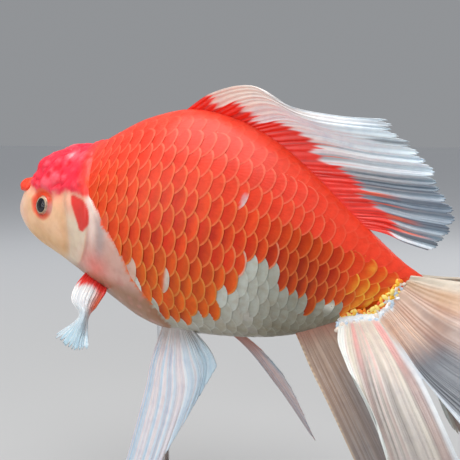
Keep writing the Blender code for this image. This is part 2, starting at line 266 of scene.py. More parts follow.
def finish(name, make):
    # a material whose surface sockets come from make(start)
    material = bpy.data.materials.new(name)
    material.use_nodes = True
    tree = material.node_tree
    tree.nodes.clear()
    start = Wire(tree)
    made = make(start)
    if isinstance(made, dict):
        made = start.node("BsdfPrincipled", None, made)
    output = tree.nodes.new("ShaderNodeOutputMaterial")
    tree.links.new(made.socket, output.inputs["Surface"])
    return material


# meshes
def gridQuads(rows, columns, closed=False):
    index = np.arange(rows * columns).reshape(rows, columns)
    if closed:
        index = np.concatenate([index, index[:, :1]], 1)
    return np.stack([index[:-1, :-1], index[1:, :-1], index[1:, 1:], index[:-1, 1:]], -1).reshape(-1, 4)


def endCaps(rows, columns):
    # the two faces that close a tube of rings
    ring = list(range(columns))
    return [ring, [(rows - 1) * columns + k for k in reversed(ring)]]


def normalsOf(points, quads):
    a, b, c, d = (points[quads[:, k]] for k in range(4))
    across = np.cross(c - a, d - b)
    total = np.zeros_like(points)
    for k in range(4):
        np.add.at(total, quads[:, k], across)
    return total / np.maximum(np.linalg.norm(total, axis=1, keepdims=True), 1e-9)


def plateQuads(quads, count):
    # a sheet's quads as a closed plate: the sheet, its copy below and the rim between them
    edges = np.concatenate([quads[:, [k, (k + 1) % 4]] for k in range(4)])
    keys = edges.min(1) * count + edges.max(1)
    _, where, times = np.unique(keys, return_index=True, return_counts=True)
    rim = edges[where[times == 1]]
    sides = np.stack([rim[:, 1], rim[:, 0], rim[:, 0] + count, rim[:, 1] + count], -1)
    return np.concatenate([quads, quads[:, ::-1] + count, sides])


def makePiece(name, points, quads, look, nodes=(), values=None, paints=None, uv=None, crease=None,
              caps=()):
    # points in the fish's frame become one smooth mesh that rides with the model
    points = points.reshape(-1, 3)
    mesh = bpy.data.meshes.new(name)
    mesh.from_pydata(placed(points).tolist(), [], quads.tolist() + list(caps))
    mesh.shade_smooth()
    if crease:
        mesh.set_sharp_from_angle(angle=math.radians(crease))
    for key, data in (values or {}).items():
        held = mesh.attributes.new(key, "FLOAT", "POINT").data
        held.foreach_set("value", np.ravel(data).astype(np.float32))
    for key, data in (paints or {}).items():
        rgba = np.ones((len(points), 4), np.float32)
        rgba[:, :3] = np.clip(data, 0, 1).reshape(-1, 3)
        held = mesh.attributes.new(key, "FLOAT_COLOR", "POINT").data
        held.foreach_set("color", rgba.ravel())
    if uv is not None:
        corners = np.empty(len(mesh.loops), np.int32)
        mesh.loops.foreach_get("vertex_index", corners)
        spread = uv.reshape(-1, 2)[corners].astype(np.float32)
        mesh.uv_layers.new(name="OFBake").data.foreach_set("uv", spread.ravel())
    mesh.materials.append(look)
    piece = bpy.data.objects.new(name, mesh)
    bpy.context.scene.collection.objects.link(piece)
    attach(piece, "root")
    if nodes:
        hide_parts(*nodes)


# the body's sections, snout to tail root: the back's (x, z), the belly's (x, z) and the half width
body = {
    "sections": [
        ((3.4, -3), (3.4, -5.4), 1.4), ((3.8, 0.2), (4.2, -7.6), 5), ((6.4, 5.8), (7, -11.2), 8.4),
        ((9.8, 14.6), (11.8, -15), 11.4), ((15.4, 20.2), (17.8, -17.5), 13.7),
        ((23.6, 24.4), (26, -19.3), 16.5), ((33, 27.4), (35, -21.4), 20.2),
        ((43, 35), (45, -24.6), 23.6), ((54.4, 42.6), (56, -28.6), 26.2),
        ((70, 48.4), (70, -33), 27), ((87, 48.2), (85, -33), 25.6), ((103, 43.6), (100, -30), 22.4),
        ((118, 35.8), (114, -26), 18), ((131, 27.6), (125, -21.2), 13.4),
        ((143.2, 20.4), (133.6, -15.8), 9.6), ((153, 14.9), (139, -12), 6.8), ((160, 12), (143, -9.4), 4.4),
    ],
    # from the throat out over the lips, in place of the first two sections
    "mouth": [
        ((8.8, -4.2), (8.8, -4.6), 0.3), ((8.2, -3.6), (8.2, -5.3), 1.2), ((6.2, -3.3), (6.2, -5.6), 1.9),
        ((4.4, -3.4), (4.4, -5.7), 2.3), ((3.2, -2.8), (3.3, -6.3), 3), ((2.9, -1.6), (3.2, -7.3), 3.9),
        ((3.6, -0.6), (4.3, -8.1), 4.8), ((4.5, 0.9), (5.2, -9), 5.8),
    ],
    "tailEnd": [((163.4, 11.2), (146.2, -9), 2.4), ((166, 10), (149, -8), 0.4)],
    "flank": 0.48,  # the widest level, as a share of a section's height
    "backPower": 1.85,
    "bellyPower": 2.1,
    "coatDepth": 0.9,  # the skin lies this far under the outside of the scales
}
rowShift = len(body["mouth"]) - 2  # a section's number in the skin's longer list


def ringPoint(rows, t, angle):
    # a point of the body: angle 0 is the back, pi the belly, and its sign the side
    ends = through([[*row[0], *row[1], row[2]] for row in rows], np.ravel(t)).reshape(np.shape(t) + (5,))
    up = np.cos(angle) > 0
    power = np.where(up, body["backPower"], body["bellyPower"])
    out = np.sign(np.sin(angle)) * np.abs(np.sin(angle)) ** (2 / power)
    rise = np.abs(np.cos(angle)) ** (2 / power)
    level = np.where(up, body["flank"] + (1 - body["flank"]) * rise, body["flank"] * (1 - rise))
    x = ends[..., 2] + (ends[..., 0] - ends[..., 2]) * level
    z = ends[..., 3] + (ends[..., 1] - ends[..., 3]) * level
    return np.stack([x, ends[..., 4] * out, z], -1)


# lines on the fish's side, as (x, z)
marks = {
    "gillEdge": [(32, 29.5), (37.5, 26.4), (42.4, 19), (45.6, 11), (48, 4), (48.8, -3), (46.6, -10.6),
                 (41, -17), (34, -22.6), (28, -27)],
    "cheekGroove": [(31, 11.5), (34.4, 6), (37, 0.5), (38.4, -5), (38, -11), (34, -17)],
    "crownEdge": [(2, 8), (10, 6.8), (15, 6.4), (17.5, 5), (21.5, 5.6), (26, 6.6), (30.5, 8.6),
                  (34.6, 10.6), (38.4, 10.4), (43, 10.9), (47.6, 11.6), (50, 14)],
    "coatFront": [(36, 33.5), (39.6, 29), (41.6, 25.6), (43.4, 21.4), (45.6, 16.6), (47.8, 12.6),
                  (50.2, 9.6), (52.8, 7), (55.6, 3.4), (58.4, 0.8), (61.4, -2), (64.2, -5.4), (67, -10.2),
                  (70.4, -14.6), (75, -19.6), (79.6, -26), (82, -34)],
    "whiteTop": [(66, -36), (69, -17), (70.4, -16), (75, -19.6), (79, -21.8), (82.2, -22.6),
                 (91.4, -21.4), (96.8, -19.2), (100.2, -14.7), (100.9, -6.2), (101.6, -2.6), (103.6, -1),
                 (106.4, 0.2), (108.4, 2.6), (111, 3.4), (114, 3.2), (116.5, 1.8), (119.4, 0.2),
                 (122.4, -1), (125, -1.4), (127.4, -4), (129.2, -7.8), (130.5, -4.8), (132.5, -2.9),
                 (135.6, -3.2), (137.2, -5.9), (139.8, -6.5), (150, -16)],
    "smoothLine": [(60, 90), (104, 44), (112, 37), (120.5, 29), (125, 23), (130, 17.5), (136, 12),
                   (142, 8.5), (170, 7)],
    "leftRed": (104.9, -2.4),
    "highWhite": (100, 25.4),
    "lowWhite": (81.3, -12.2),
    "tear": [(37.2, 9.4), (39.4, 6.6), (42.6, 3.2), (44.2, 0.6), (45.6, -0.9), (47.6, -0.7), (49, 2),
             (48.8, 5), (47.4, 8), (45, 9.9), (41.2, 10), (38.6, 10)],
}


def aboveLine(line, x, z):
    # height over a line that runs aft
    spots = np.array(marks[line])
    return z - np.interp(x, spots[:, 0], spots[:, 1])


print("building the skin")
skin = {
    "around": 284,
    "headSpacing": 0.36,  # rows on the head, in millimetres
    "trunkSpacing": 1.05,
    "headEnd": 50.0,
    "crownLump": 0.6,
    "knob": 4.6,  # the growth's knobs are this far apart
    "crownStep": 0.55,  # the growth ends in a fold this deep
    "gillRise": 0.30,
    "gillStep": 0.5,
    "grooveDepth": 0.42,
    "grooveRise": 0.25,
    "foldDepth": 0.35,
    "ripple": 0.10,
    "eyeOpening": 3.85,
    "eyeRim": 0.28,
    "underBall": 1.5,  # inside the opening the skin lies this far out from the ball's middle
    # points this far from the eye's axis move to this far from it
    "eyeGather": (0.0, 2.5, 3.47, 4.23, 5.6, 99.0),
    "eyeCircle": (0.0, 2.5, 3.82, 3.90, 5.6, 99.0),
    "eyeBlend": (7.6, 4.6),  # from the skin's own form to the eye's, by distance from the axis
    # what the surface rises by: (x, y, z) of each place on the right side, its width and its height
    "swellings": [
        ((9, 0, 15), 7, 0.3), ((13.2, 7, 15.6), 3.4, 1.1), ((24, 12, 15), 6, 0.5),
        ((11.6, 8, 11), 3.4, -0.9), ((7.8, 2, 9), 4, -0.8), ((19.5, 5, 21.2), 5, -0.3),
        ((49.5, 17, -19), 4, 0.6),  # where the pectoral fin hangs
    ],
    # and the growth's pits, with their depth
    "pits": [
        ((26, 12.7, 16.5), 2, 0.50), ((24.6, 12.6, 15.6), 1.6, 0.40), ((22.4, 13, 12.8), 1.7, 0.50),
        ((29.4, 12.4, 18.6), 1.7, 0.45), ((28.6, 14.5, 15.2), 1.5, 0.35), ((37.5, 16.5, 16.5), 2.4, 0.4),
        ((32.5, 14.5, 14), 1.4, 0.3), ((16.5, 10, 12), 1.6, 0.3),
    ],
}
rowList = body["mouth"] + body["sections"][2:] + body["tailEnd"]
stops = []
for k, (near, far) in enumerate(zip(rowList[:-1], rowList[1:])):
    run = max(math.dist(near[0], far[0]), math.dist(near[1], far[1]), abs(far[2] - near[2]))
    spacing = skin["headSpacing"] if near[0][0] < skin["headEnd"] else skin["trunkSpacing"]
    steps = max(3, math.ceil(run / spacing))
    stops += [k + step / steps for step in range(steps)]
stops = np.array(stops + [len(rowList) - 1])
angles = np.linspace(0, 2 * math.pi, skin["around"], endpoint=False)
gridT, gridAngle = np.meshgrid(stops, angles, indexing="ij")
skinQuads = gridQuads(len(stops), skin["around"], True)


def outward(points):
    return normalsOf(points.reshape(-1, 3), skinQuads).reshape(points.shape)


surface = ringPoint(rowList, gridT, gridAngle)
normals = outward(surface)
x, y, z = surface[..., 0], np.abs(surface[..., 1]), surface[..., 2]
onFace = ramp(rowShift + 1.0, rowShift + 2.2, gridT)  # 0 in the mouth and on the lips
crown = ramp(-0.4, 2.2, aboveLine("crownEdge", x, z)) * ramp(49, 40, x) * onFace
behindGill, gillShare = beside(x, z, marks["gillEdge"])
gillShown = ramp(0.12, 0.25, gillShare) * ramp(1.0, 0.9, gillShare) * (y > 3)
grooveAway, grooveShare = beside(x, z, marks["cheekGroove"])
grooveShown = ramp(0.0, 0.15, grooveShare) * ramp(1.0, 0.8, grooveShare) * (y > 5)
coatAway, _ = beside(x, z, marks["coatFront"])
high = ramp(9, 15, z)
coated = ramp(-1.0 - 3.0 * high, 1.2 - 1.4 * high, coatAway)
crown *= ramp(-0.5, -4.5, coatAway)


def awayFrom(spot):
    # distance from a place on either side of the fish
    return np.sqrt((x - spot[0]) ** 2 + (y - spot[1]) ** 2 + (z - spot[2]) ** 2)


lift = np.zeros_like(x)
crease, bead = knobs(surface + 0.9 * rough(surface, 4.0, 1.7)[..., None], skin["knob"])
crease = crease * ramp(-0.25, 0.25, rough(surface, 8.0, 1.3))
lumps = 0.9 * np.abs(rough(surface, 9.0, 3.1)) + 0.5 * bead
lift += crown * skin["crownLump"] * (0.25 + 1.5 * lumps - 0.7 * crease)
for spot, wide, tall in skin["swellings"]:
    lift += tall * hump(awayFrom(spot), wide)
lift -= skin["crownStep"] * hump(aboveLine("crownEdge", x, z) + 1.0, 1.6) * onFace * ramp(48, 40, x)
dip = np.zeros_like(x)
for spot, wide, deep in skin["pits"]:
    dip = np.maximum(dip, deep * hump(awayFrom(spot), wide))
lift -= dip
gillShown = gillShown * ramp(-16, -9, z)
lift += gillShown * skin["gillRise"] * ramp(-3.6, -0.8, behindGill) * ramp(0.9, -0.3, behindGill)
lift -= gillShown * skin["gillStep"] * hump(behindGill - 0.9, 2.0) * ramp(-0.3, 0.9, behindGill)
lift -= grooveShown * skin["grooveDepth"] * hump(grooveAway, 1.7)
lift += grooveShown * skin["grooveRise"] * hump(grooveAway - 2.4, 1.6)
lift += skin["ripple"] * rough(surface, 3.4, 5.0) * onFace * (1 - coated)
for fold in (3.7, 1.6):  # folds of the throat below the gill cover
    lift -= skin["foldDepth"] * hump(y - fold, 0.8) * ramp(10, 18, x) * ramp(44, 34, x) * ramp(-12, -16, z)
lift -= body["coatDepth"] * coated
surface = surface + normals * lift[..., None]

# the eyes: the skin closes on the ball in a soft ring and dips under it
eyeAxis = unitOf(np.array([-0.34, 0.935, 0.08]))
eyeGapOf = {}
for side, _ in flanks:
    axis = mirrored(eyeAxis, side)
    reach = surface - mirrored(pose["eyeSeat"], side)
    height = reach @ axis
    aside = reach - height[..., None] * axis
    apart = np.linalg.norm(aside, axis=-1)
    # points near the opening gather on its circle, so that its edge is clean
    radial = np.interp(apart, skin["eyeGather"], skin["eyeCircle"])
    aside = aside * (radial / np.maximum(apart, 1e-6) - 1)[..., None]
    surface = surface + aside * (height > 0)[..., None]
    ball = np.sqrt(pose["eyeRadius"] ** 2 - np.minimum(radial, skin["eyeBlend"][1]) ** 2)
    rimHeight = ball + skin["eyeRim"] * hump(radial - skin["eyeOpening"] - 0.5, 0.75)
    inside = ramp(skin["eyeOpening"], skin["eyeOpening"] - 0.5, radial)
    target = between(rimHeight, skin["underBall"], inside)
    close = ramp(*skin["eyeBlend"], radial) * (height > 0)
    surface = surface + axis * ((target - height) * close)[..., None]
    eyeGapOf[side] = np.where(height > 0, radial, 99.0)
eyeRadial = np.minimum(eyeGapOf[-1], eyeGapOf[1])
eyeAft = (x - pose["eyeSeat"][0]) / np.maximum(eyeRadial, 0.5)

# the nose flaps: each swells from the skin as a lobed button on a short neck
flap = {
    "at": (9.8, 6.0, 4.2),
    "axis": (-0.36, 0.46, 0.76),
    "base": 3.1,
    "width": 4.2,
    "height": 4.2,
    # (width, height) as shares, from the middle of the button out and back to the skin
    "outline": [(0, 1.0), (0.46, 0.98), (0.80, 0.84), (0.98, 0.58), (0.84, 0.32), (0.66, 0.12), (1.08, 0.0)],
}
flapMask = np.zeros_like(x)
for side, _ in flanks:
    at = mirrored(flap["at"], side)
    axis = unitOf(mirrored(flap["axis"], side))
    first = unitOf(np.cross(axis, [0, 1, 0]))
    second = np.cross(axis, first)
    reach = surface - at
    a, b, h = reach @ first, reach @ second, reach @ axis
    radial = np.hypot(a, b)
    share = radial / flap["base"]
    onFlap = (share < 1) & (h > -3) & (gridT > rowShift)
    turn = np.arctan2(b, a)
    shape = through(flap["outline"], np.clip(share, 0, 1).ravel() * 6).reshape(share.shape + (2,))
    lobed = 1 + 0.07 * np.cos(3 * turn + 0.6) + 0.05 * np.cos(7 * turn)
    wide = shape[..., 0] * flap["width"] * (1 + (lobed - 1) * ramp(1, 0.5, share))
    tall = shape[..., 1] * flap["height"] * (1 + 0.10 * np.cos(2 * turn + 1.0) * (1 - share))
    settle = ramp(1.0, 0.8, share)
    raised = at + first * (np.cos(turn) * wide)[..., None] + second * (np.sin(turn) * wide)[..., None]
    raised = raised + axis * (tall + h * (1 - settle))[..., None]
    surface = np.where(onFlap[..., None], surface + (raised - surface) * settle[..., None], surface)
    flapMask = np.maximum(flapMask, onFlap * ramp(0.98, 0.80, share))
normals = outward(surface)
print("skin rows", len(stops), "quads", len(skinQuads))


# colours shared by the skin and the scales
def redCoat(level, tones=("f64832", "f04c1a", "f06814")):
    # the coat's red on the back, on the flank and low down
    paint = np.ones(np.shape(level) + (3,)) * colour(tones[1])
    return layered(paint, (tones[0], ramp(0.55, 0.85, level)), (tones[2], ramp(0.50, 0.26, level)))


def levelOf(x, z):
    # 0 on the belly's line and 1 on the back's
    rows = np.array([[*row[0], *row[1]] for row in body["sections"]])
    back = np.interp(x, rows[:, 0], rows[:, 1])
    belly = np.interp(x, rows[:, 2], rows[:, 3])
    return np.clip((z - belly) / (back - belly), 0, 1)


print("painting the skin")
level = levelOf(x, z)
mottle = rough(surface, 3.0, 2.0)
fine = rough(surface, 1.1, 7.0)
overCrown = aboveLine("crownEdge", x, z)
# gill cover: pale and pearly, with painted shade in the groove in front of it
cover = ramp(-2.6, 3.0, grooveAway) * ramp(1.0, -0.5, behindGill) * ramp(2, -1, overCrown)
tear = within(x + 0.25 * fine, z + 0.25 * mottle, marks["tear"], 0.9) * (y > 8)
chest = ramp(-0.2, 0.5, behindGill)
paint = layered(
    plain("f8c79c", surface),
    ("ffb898", ramp(1, 9, z) * ramp(8, 18, x)),
    # the lower cheek yellower, and darker as painted shade
    ("e0ad70", ramp(-4, -13, z) * ramp(8, 20, x) * 0.8),
    ("ffd0b8", ramp(15, 7, x)),
    ("fb8a78", 0.6 * hump(overCrown, 3.0)),
    ("e4cfb6", cover),
    ("f2a284", cover * ramp(0, 7, z) * 0.7),
    # painted shade along the cheek groove
    ("cf9660", 0.3 * grooveShown * hump(grooveAway + 0.6, 2.4)),
    # behind the gill: a bright strip, then grey pink flesh that shows through, and the brown pink chest
    ("d6ac9e", chest),
    ("ffe6da", chest * hump(behindGill - 2.6, 2.6) * ramp(-9, 4, z)),
    ("b9a49f", chest * hump(behindGill - 6.6, 2.2) * ramp(12, 2, z) * ramp(-14, -4, z)),
    ("ee8074", 0.85 * hump(np.hypot(x - 53, (z + 13) * 1.1), 6.5) * (y > 6)),
    # painted shade under the throat and chest
    ("a67a5e", ramp(-13, -20, z) * ramp(30, 40, x)),
    ("cf8f84", 0.5 * ramp(0.1, 0.5, mottle) * ramp(-8, -16, z) * ramp(44, 54, x)),
    ("e23a30", tear),  # the red drop on the gill cover
)
# the growth's rose: painted highlight on its knobs and one pale patch, painted shade in its creases and pits
roseWithPaintedLight = layered(
    between(colour("f42c44"), colour("fb5c6c"), ramp(0.25, 0.80, lumps + 0.2 * fine)[..., None]),
    ("ea1e40", 0.45 * crease),
    ("e8102c", 0.9 * ramp(0.08, 0.40, dip)),
    # a painted highlight patch on the growth
    ("ffa6b0", 0.8 * hump(awayFrom((28.0, 9.0, 21.5)) + 0.8 * fine, 1.9)),
    ("fb4434", 0.8 * ramp(-9, -2, coatAway)),
)
crownPaint = ramp(-0.9, 1.1, overCrown + 0.9 * mottle + 0.5 * fine) * ramp(52, 46, x) * onFace
ringAway = eyeRadial + 0.3 * mottle - 0.05 * (z - pose["eyeSeat"][2])
ringAway += 1.8 * np.minimum(eyeAft + 0.2, 0) + 0.4 * np.maximum(eyeAft, 0)
under = laid(redCoat(level), "b9b6a6", aboveLine("whiteTop", x, z) < 0)
paint = layered(
    paint,
    (roseWithPaintedLight, crownPaint),
    ("f4764c", ramp(6.3, 5.0, ringAway) * 0.9),
    ("ee4a20", ramp(5.3, 4.4, ringAway)),
    # grey painted shade behind the eye
    ("c4a6a4", ramp(6.2, 5.0, eyeRadial) * ramp(0.45, 0.85, eyeAft) * 0.85),
    ("ff4526", flapMask),
    ("f2b8a6", (1 - onFace) * 0.9),
    # painted shade inside the mouth
    ("7c3f3a", ramp(3.4, 1.5, gridT)),
    (under, ramp(-0.1, 0.6, coatAway + 0.9 * mottle + 0.6 * fine + 2.4 * high)),
)
streaks = np.sin(x * 2.6 + 0.5 * z + 2.0 * mottle) * chest * (1 - coated)
wet = 1 - 0.8 * crownPaint


def skinFinish(start):
    soft = start.grain(260.0, 4.0)
    pores = start.grain(1500.0, 2.0)
    height = soft * 0.6 + pores * 0.25 + start.value("streaks") * 0.25
    return {
        "Base Color": soft.tinted(0.35, 0.75, start.paint("paint"), (0.90, 0.86, 0.84)),
        "Roughness": 0.36 + 0.18 * soft,
        "Normal": start.bump(height, 0.25, 0.0004),
        "Subsurface Weight": 0.22,
        "Subsurface Radius": (1.0, 0.35, 0.2),
        "Subsurface Scale": 0.0025,
        "Coat Weight": 0.08 + 0.22 * start.value("wet"),
        "Coat Roughness": 0.2,
        "Specular IOR Level": 0.3,
    }


fleshNodes = ["head", "head_growth", "lips", "trunk", "tail_stalk"]
fleshNodes += [stem + side for stem in ("gill_cover_", "nose_flap_") for side in ("left", "right")]
skinUv = np.stack([gridT / (len(rowList) - 1), gridAngle / (2 * math.pi)], -1) * 0.98 + 0.01
skinLook = finish("livingSkin", skinFinish)
skinCaps = endCaps(len(stops), skin["around"])
makePiece("body_skin", surface, skinQuads, skinLook, fleshNodes,
          {"streaks": streaks, "wet": wet}, {"paint": paint}, skinUv, caps=skinCaps)


print("building the eyes")
# a ball with a dished iris, a dark lens and a clear cornea
eye = {
    "ringTurn": 96,
    # (distance from the axis, height over the ball's middle), front to back
    "profile": [(0, 4.45), (0.9, 4.38), (1.8, 4.12), (2.42, 3.82), (2.55, 3.80), (2.68, 4.05), (3, 4.02),
                (3.5, 3.70), (3.9, 3.2), (4.4, 2.2), (4.8, 0.9), (4.9, -0.5), (4.2, -2.6), (2.4, -4.2),
                (0.02, -4.8)],
    "corneaEdge": 4,
    "corneaBack": [(3.9, 3), (3.2, 2.2), (1.8, 1.8), (0, 1.7)],
}


def eyeFinish(start):
    fibres = start.grain(1800.0, 3.0)
    return {
        "Base Color": fibres.tinted(0.4, 0.7, start.paint("paint"), (0.72, 0.66, 0.62)),
        "Roughness": 0.40 + 0.12 * fibres,
        "Metallic": start.value("shine"),
        "Normal": start.bump(fibres, 0.02, 0.0001),
        "Specular IOR Level": 0.2,
    }


def corneaFinish(start):
    clear = start.node("BsdfTransparent", None, {"Color": (1, 1, 1, 1)})
    gloss = start.node("BsdfGlossy", None, {"Color": (1, 1, 1, 1), "Roughness": 0.03})
    edge = start.node("Fresnel", None, {"IOR": 1.38})
    return start.node("MixShader", None, {0: edge, 1: clear, 2: gloss})


def turned(line):
    # a line spun round its own axis: points, quads, and each point's distance from the axis and turn
    line = np.asarray(line, float)
    turn = np.linspace(0, 2 * math.pi, eye["ringTurn"], endpoint=False)
    radius = np.maximum(line[:, :1], 0.015) * np.ones_like(turn)
    points = np.stack([radius * np.cos(turn), radius * np.sin(turn), line[:, 1:] * np.ones_like(turn)], -1)
    return points, gridQuads(len(line), eye["ringTurn"], True), radius, turn * np.ones_like(radius)


def aimed(points, side):
    axis = mirrored(eyeAxis, side)
    first = unitOf(np.cross([0, 0, 1], axis))
    return mirrored(pose["eyeSeat"], side) + points @ np.stack([first, np.cross(axis, first), axis])


eyeLook = finish("eyeBall", eyeFinish)
corneaLook = finish("clearCornea", corneaFinish)
for side, word in flanks:
    last = len(eye["profile"]) - 1
    ballLine = through(eye["profile"], np.linspace(0, last, 4 * last + 1))
    ballPoints, ballQuads, radius, turn = turned(ballLine)
    row = np.arange(len(radius))[:, None] * np.ones_like(turn)
    iris = layered(
        plain("ee6a2c", ballPoints),
        ("c8401c", 0.6 * ramp(0.2, 0.8, np.sin(turn * 23 + 2 * np.sin(turn * 5)))),
        # one side of the iris painted paler, a painted highlight
        ("e9d6c0", 0.8 * ramp(-0.2, 0.7, -side * np.cos(turn + 0.5 * side))),
        ("f8e2bc", ramp(3.15, 2.95, radius)),
        ("1c1622", ramp(2.68, 2.6, radius)),
        ("8f3a28", ramp(4.0, 4.4, radius) + (row > 36)),
    )
    shine = 0.2 * ramp(2.6, 2.8, radius) * ramp(4.0, 3.6, radius)
    makePiece("eyeball_" + word, aimed(ballPoints, side), ballQuads, eyeLook, ["eye_" + word],
              {"shine": shine}, {"paint": iris}, caps=endCaps(len(radius), eye["ringTurn"]))
    domeReach = np.linspace(0, eye["corneaEdge"], 24)
    dome = np.stack([domeReach, np.sqrt(pose["eyeRadius"] ** 2 - domeReach**2)], -1)
    domePoints, domeQuads, reach, _ = turned(np.concatenate([dome, eye["corneaBack"]]))
    makePiece("cornea_" + word, aimed(domePoints, side), domeQuads, corneaLook,
              caps=endCaps(len(reach), eye["ringTurn"]))


# the coat: overlapping scales in rows along the body
print("laying the scales")
coat = {
    "pitch": 4.3,  # from one scale to the next in a row
    "rowPitch": 7.0,  # from row to row, at the deepest part of the body
    "lateral": 0.456,  # the middle row's place, as a share of the way from back to belly
    "reach": 1.17,  # a scale's free end, in pitches
    "half": 0.92,  # its half height, in row pitches
    "climb": 0.22,  # the upper rows rise aft by this share
    "climbFrom": 70.0,
    "climbOver": 30,
    "climbRows": 6,  # rows from the middle one up to where they climb in full
    "lean": 0.11,  # and each scale a little more
    "rootLift": 0.06,  # a scale's height over the skin at its root, and how it rises from there
    "slope": 0.042,
    "dome": 0.12,
    "rimLift": 0.03,
    "thick": 0.08,
    "rootArc": (0.34, 0.75),  # how far the root reaches forward, and how round it is
    "endArc": (2.7, 0.6),  # the powers that round the free end
    # how much scales differ in length, height, lean and lift
    "varies": (0.03, 0.025, 0.04, 0.10),
    "first": 6.0,  # the sections where the rows start and end
    "last": 15.85,
    "ridgeGap": 0.30,  # a scale this near to a ridge, in row pitches, sits on it
    "overlap": 2.8,  # the first scales start this far ahead of the coat's front line
    "shrink": 0.32,  # rows follow the girth by this power
    "along": 11,
    "across": 13,
}
tableS = np.linspace(3, 16, 521)
tableAngle = np.linspace(0, math.pi, 241)
half = ringPoint(body["sections"], *np.meshgrid(tableS, tableAngle, indexing="ij"))
stepped = np.linalg.norm(np.diff(half, axis=1), axis=-1)
arc = np.concatenate([np.zeros((len(tableS), 1)), np.cumsum(stepped, 1)], 1)
girth = arc[:, -1]
shares = np.linspace(0, 1, 241)
angleAt = np.array([np.interp(shares, row / row[-1], tableAngle) for row in arc])
middleLine = np.array([[np.interp(coat["lateral"], row / row[-1], line[:, k]) for k in range(3)]
                       for row, line in zip(arc, half)])
travel = np.concatenate([[0], np.cumsum(np.linalg.norm(np.diff(middleLine, axis=0), axis=1))])


def onFlank(s, share, side):
    # a point of the body at section s and this share of the way from back to belly; past either ridge it
    # comes out on the other side
    side = np.where((share < 0) | (share > 1), -side, side)
    share = np.abs(share)
    share = np.where(share > 1, 2 - share, share)
    row = (np.clip(s, tableS[0], tableS[-1]) - tableS[0]) / (tableS[1] - tableS[0])
    column = share * (len(shares) - 1)
    r0 = np.clip(row.astype(int), 0, len(tableS) - 2)
    c0 = np.clip(column.astype(int), 0, len(shares) - 2)
    fr, fc = row - r0, column - c0
    fore = between(angleAt[r0, c0], angleAt[r0, c0 + 1], fc)
    aft = between(angleAt[r0 + 1, c0], angleAt[r0 + 1, c0 + 1], fc)
    return ringPoint(body["sections"], s, side * between(fore, aft, fr))


def flankFrame(s, share, side):
    # the point there and the way out of the body
    step = 0.004
    fore = onFlank(s + step, share, side) - onFlank(s - step, share, side)
    down = onFlank(s, share + step, side) - onFlank(s, share - step, side)
    out = np.cross(fore, down) * np.asarray(side)[..., None]
    return onFlank(s, share, side), out / np.maximum(np.linalg.norm(out, axis=-1, keepdims=True), 1e-9)


def rowShare(row, place):
    # where a row runs at this place, and how fast it climbs or falls from there; the upper rows climb aft
    found = []
    for at in (place, place + 1.0):
        around = np.interp(np.interp(at, travel, tableS), tableS, girth)
        climb = coat["climb"] * coat["climbOver"] * math.tanh((at - coat["climbFrom"]) / coat["climbOver"])
        climb *= min(max(row / coat["climbRows"], 0), 1)
        rowPitch = coat["rowPitch"] * (around / girth.max()) ** coat["shrink"]
        found.append(coat["lateral"] - (row * rowPitch + climb) / around)
    return found[0], found[1] - found[0]


seeds = []
place, column = np.interp(coat["first"], tableS, travel), 0
lastPlace = np.interp(coat["last"], tableS, travel)
while place < lastPlace:
    s = np.interp(place, travel, tableS)
    around = np.interp(s, tableS, girth)
    shrink = (around / girth.max()) ** coat["shrink"]
    rowPitch = coat["rowPitch"] * shrink
    pitch = coat["pitch"] * (0.80 + 0.20 * shrink)
    pitch *= (0.86 + 0.14 * ramp(6.4, 8.5, s)) * (0.82 + 0.18 * ramp(12.6, 10.0, s))
    most = int(around / rowPitch) + 1
    for row in range(-most, most + 1):
        if (row + column) % 2:
            continue
        share, rate = rowShare(row, place)
        nearRidge = coat["ridgeGap"] * rowPitch / around
        if share < -nearRidge or share > 1 + nearRidge:
            continue
        onRidge = share < nearRidge or share > 1 - nearRidge
        share = float(np.clip(share, 0, 1)) if onRidge else share
        for side in (-1,) if onRidge else (-1, 1):
            seeds.append((s, share, side, pitch, rowPitch, place, around, rate))
    place += pitch / 2
    column += 1
seeds = np.array(seeds)
centres = onFlank(seeds[:, 0], seeds[:, 1], seeds[:, 2])
away, _ = beside(centres[:, 0], centres[:, 2], marks["coatFront"])
kept = away > -coat["overlap"] - 1.6 * ramp(9, 15, centres[:, 2])
seeds, centres = seeds[kept], centres[kept]
print("scales", len(seeds))

# one scale: v runs across it, u from its root to its free end
u = 1 - (1 - np.linspace(0, 1, coat["along"])) ** 1.5
v = np.sin(np.linspace(-1, 1, coat["across"]) * math.pi / 2)
gridU, gridV = np.meshgrid(u, v, indexing="ij")
free = np.maximum(1 - np.abs(gridV) ** coat["endArc"][0], 0.0) ** coat["endArc"][1]
front = -coat["rootArc"][0] * np.sqrt(1 - coat["rootArc"][1] * gridV**2)
alongScale = front + (free - front) * gridU
count = gridU.size
scaleSheet = gridQuads(coat["along"], coat["across"])
scaleQuads = plateQuads(scaleSheet, count)
radiusScale = np.sqrt(np.clip(alongScale, 0, None) ** 2 + gridV**2)


def nearestTo(seen, spot):
    # the one scale whose middle is at this spot, if any is
    gap = np.hypot(seen[:, 0] - spot[0], seen[:, 1] - spot[1])
    return np.flatnonzero((gap == gap.min()) & (gap < 4.5))


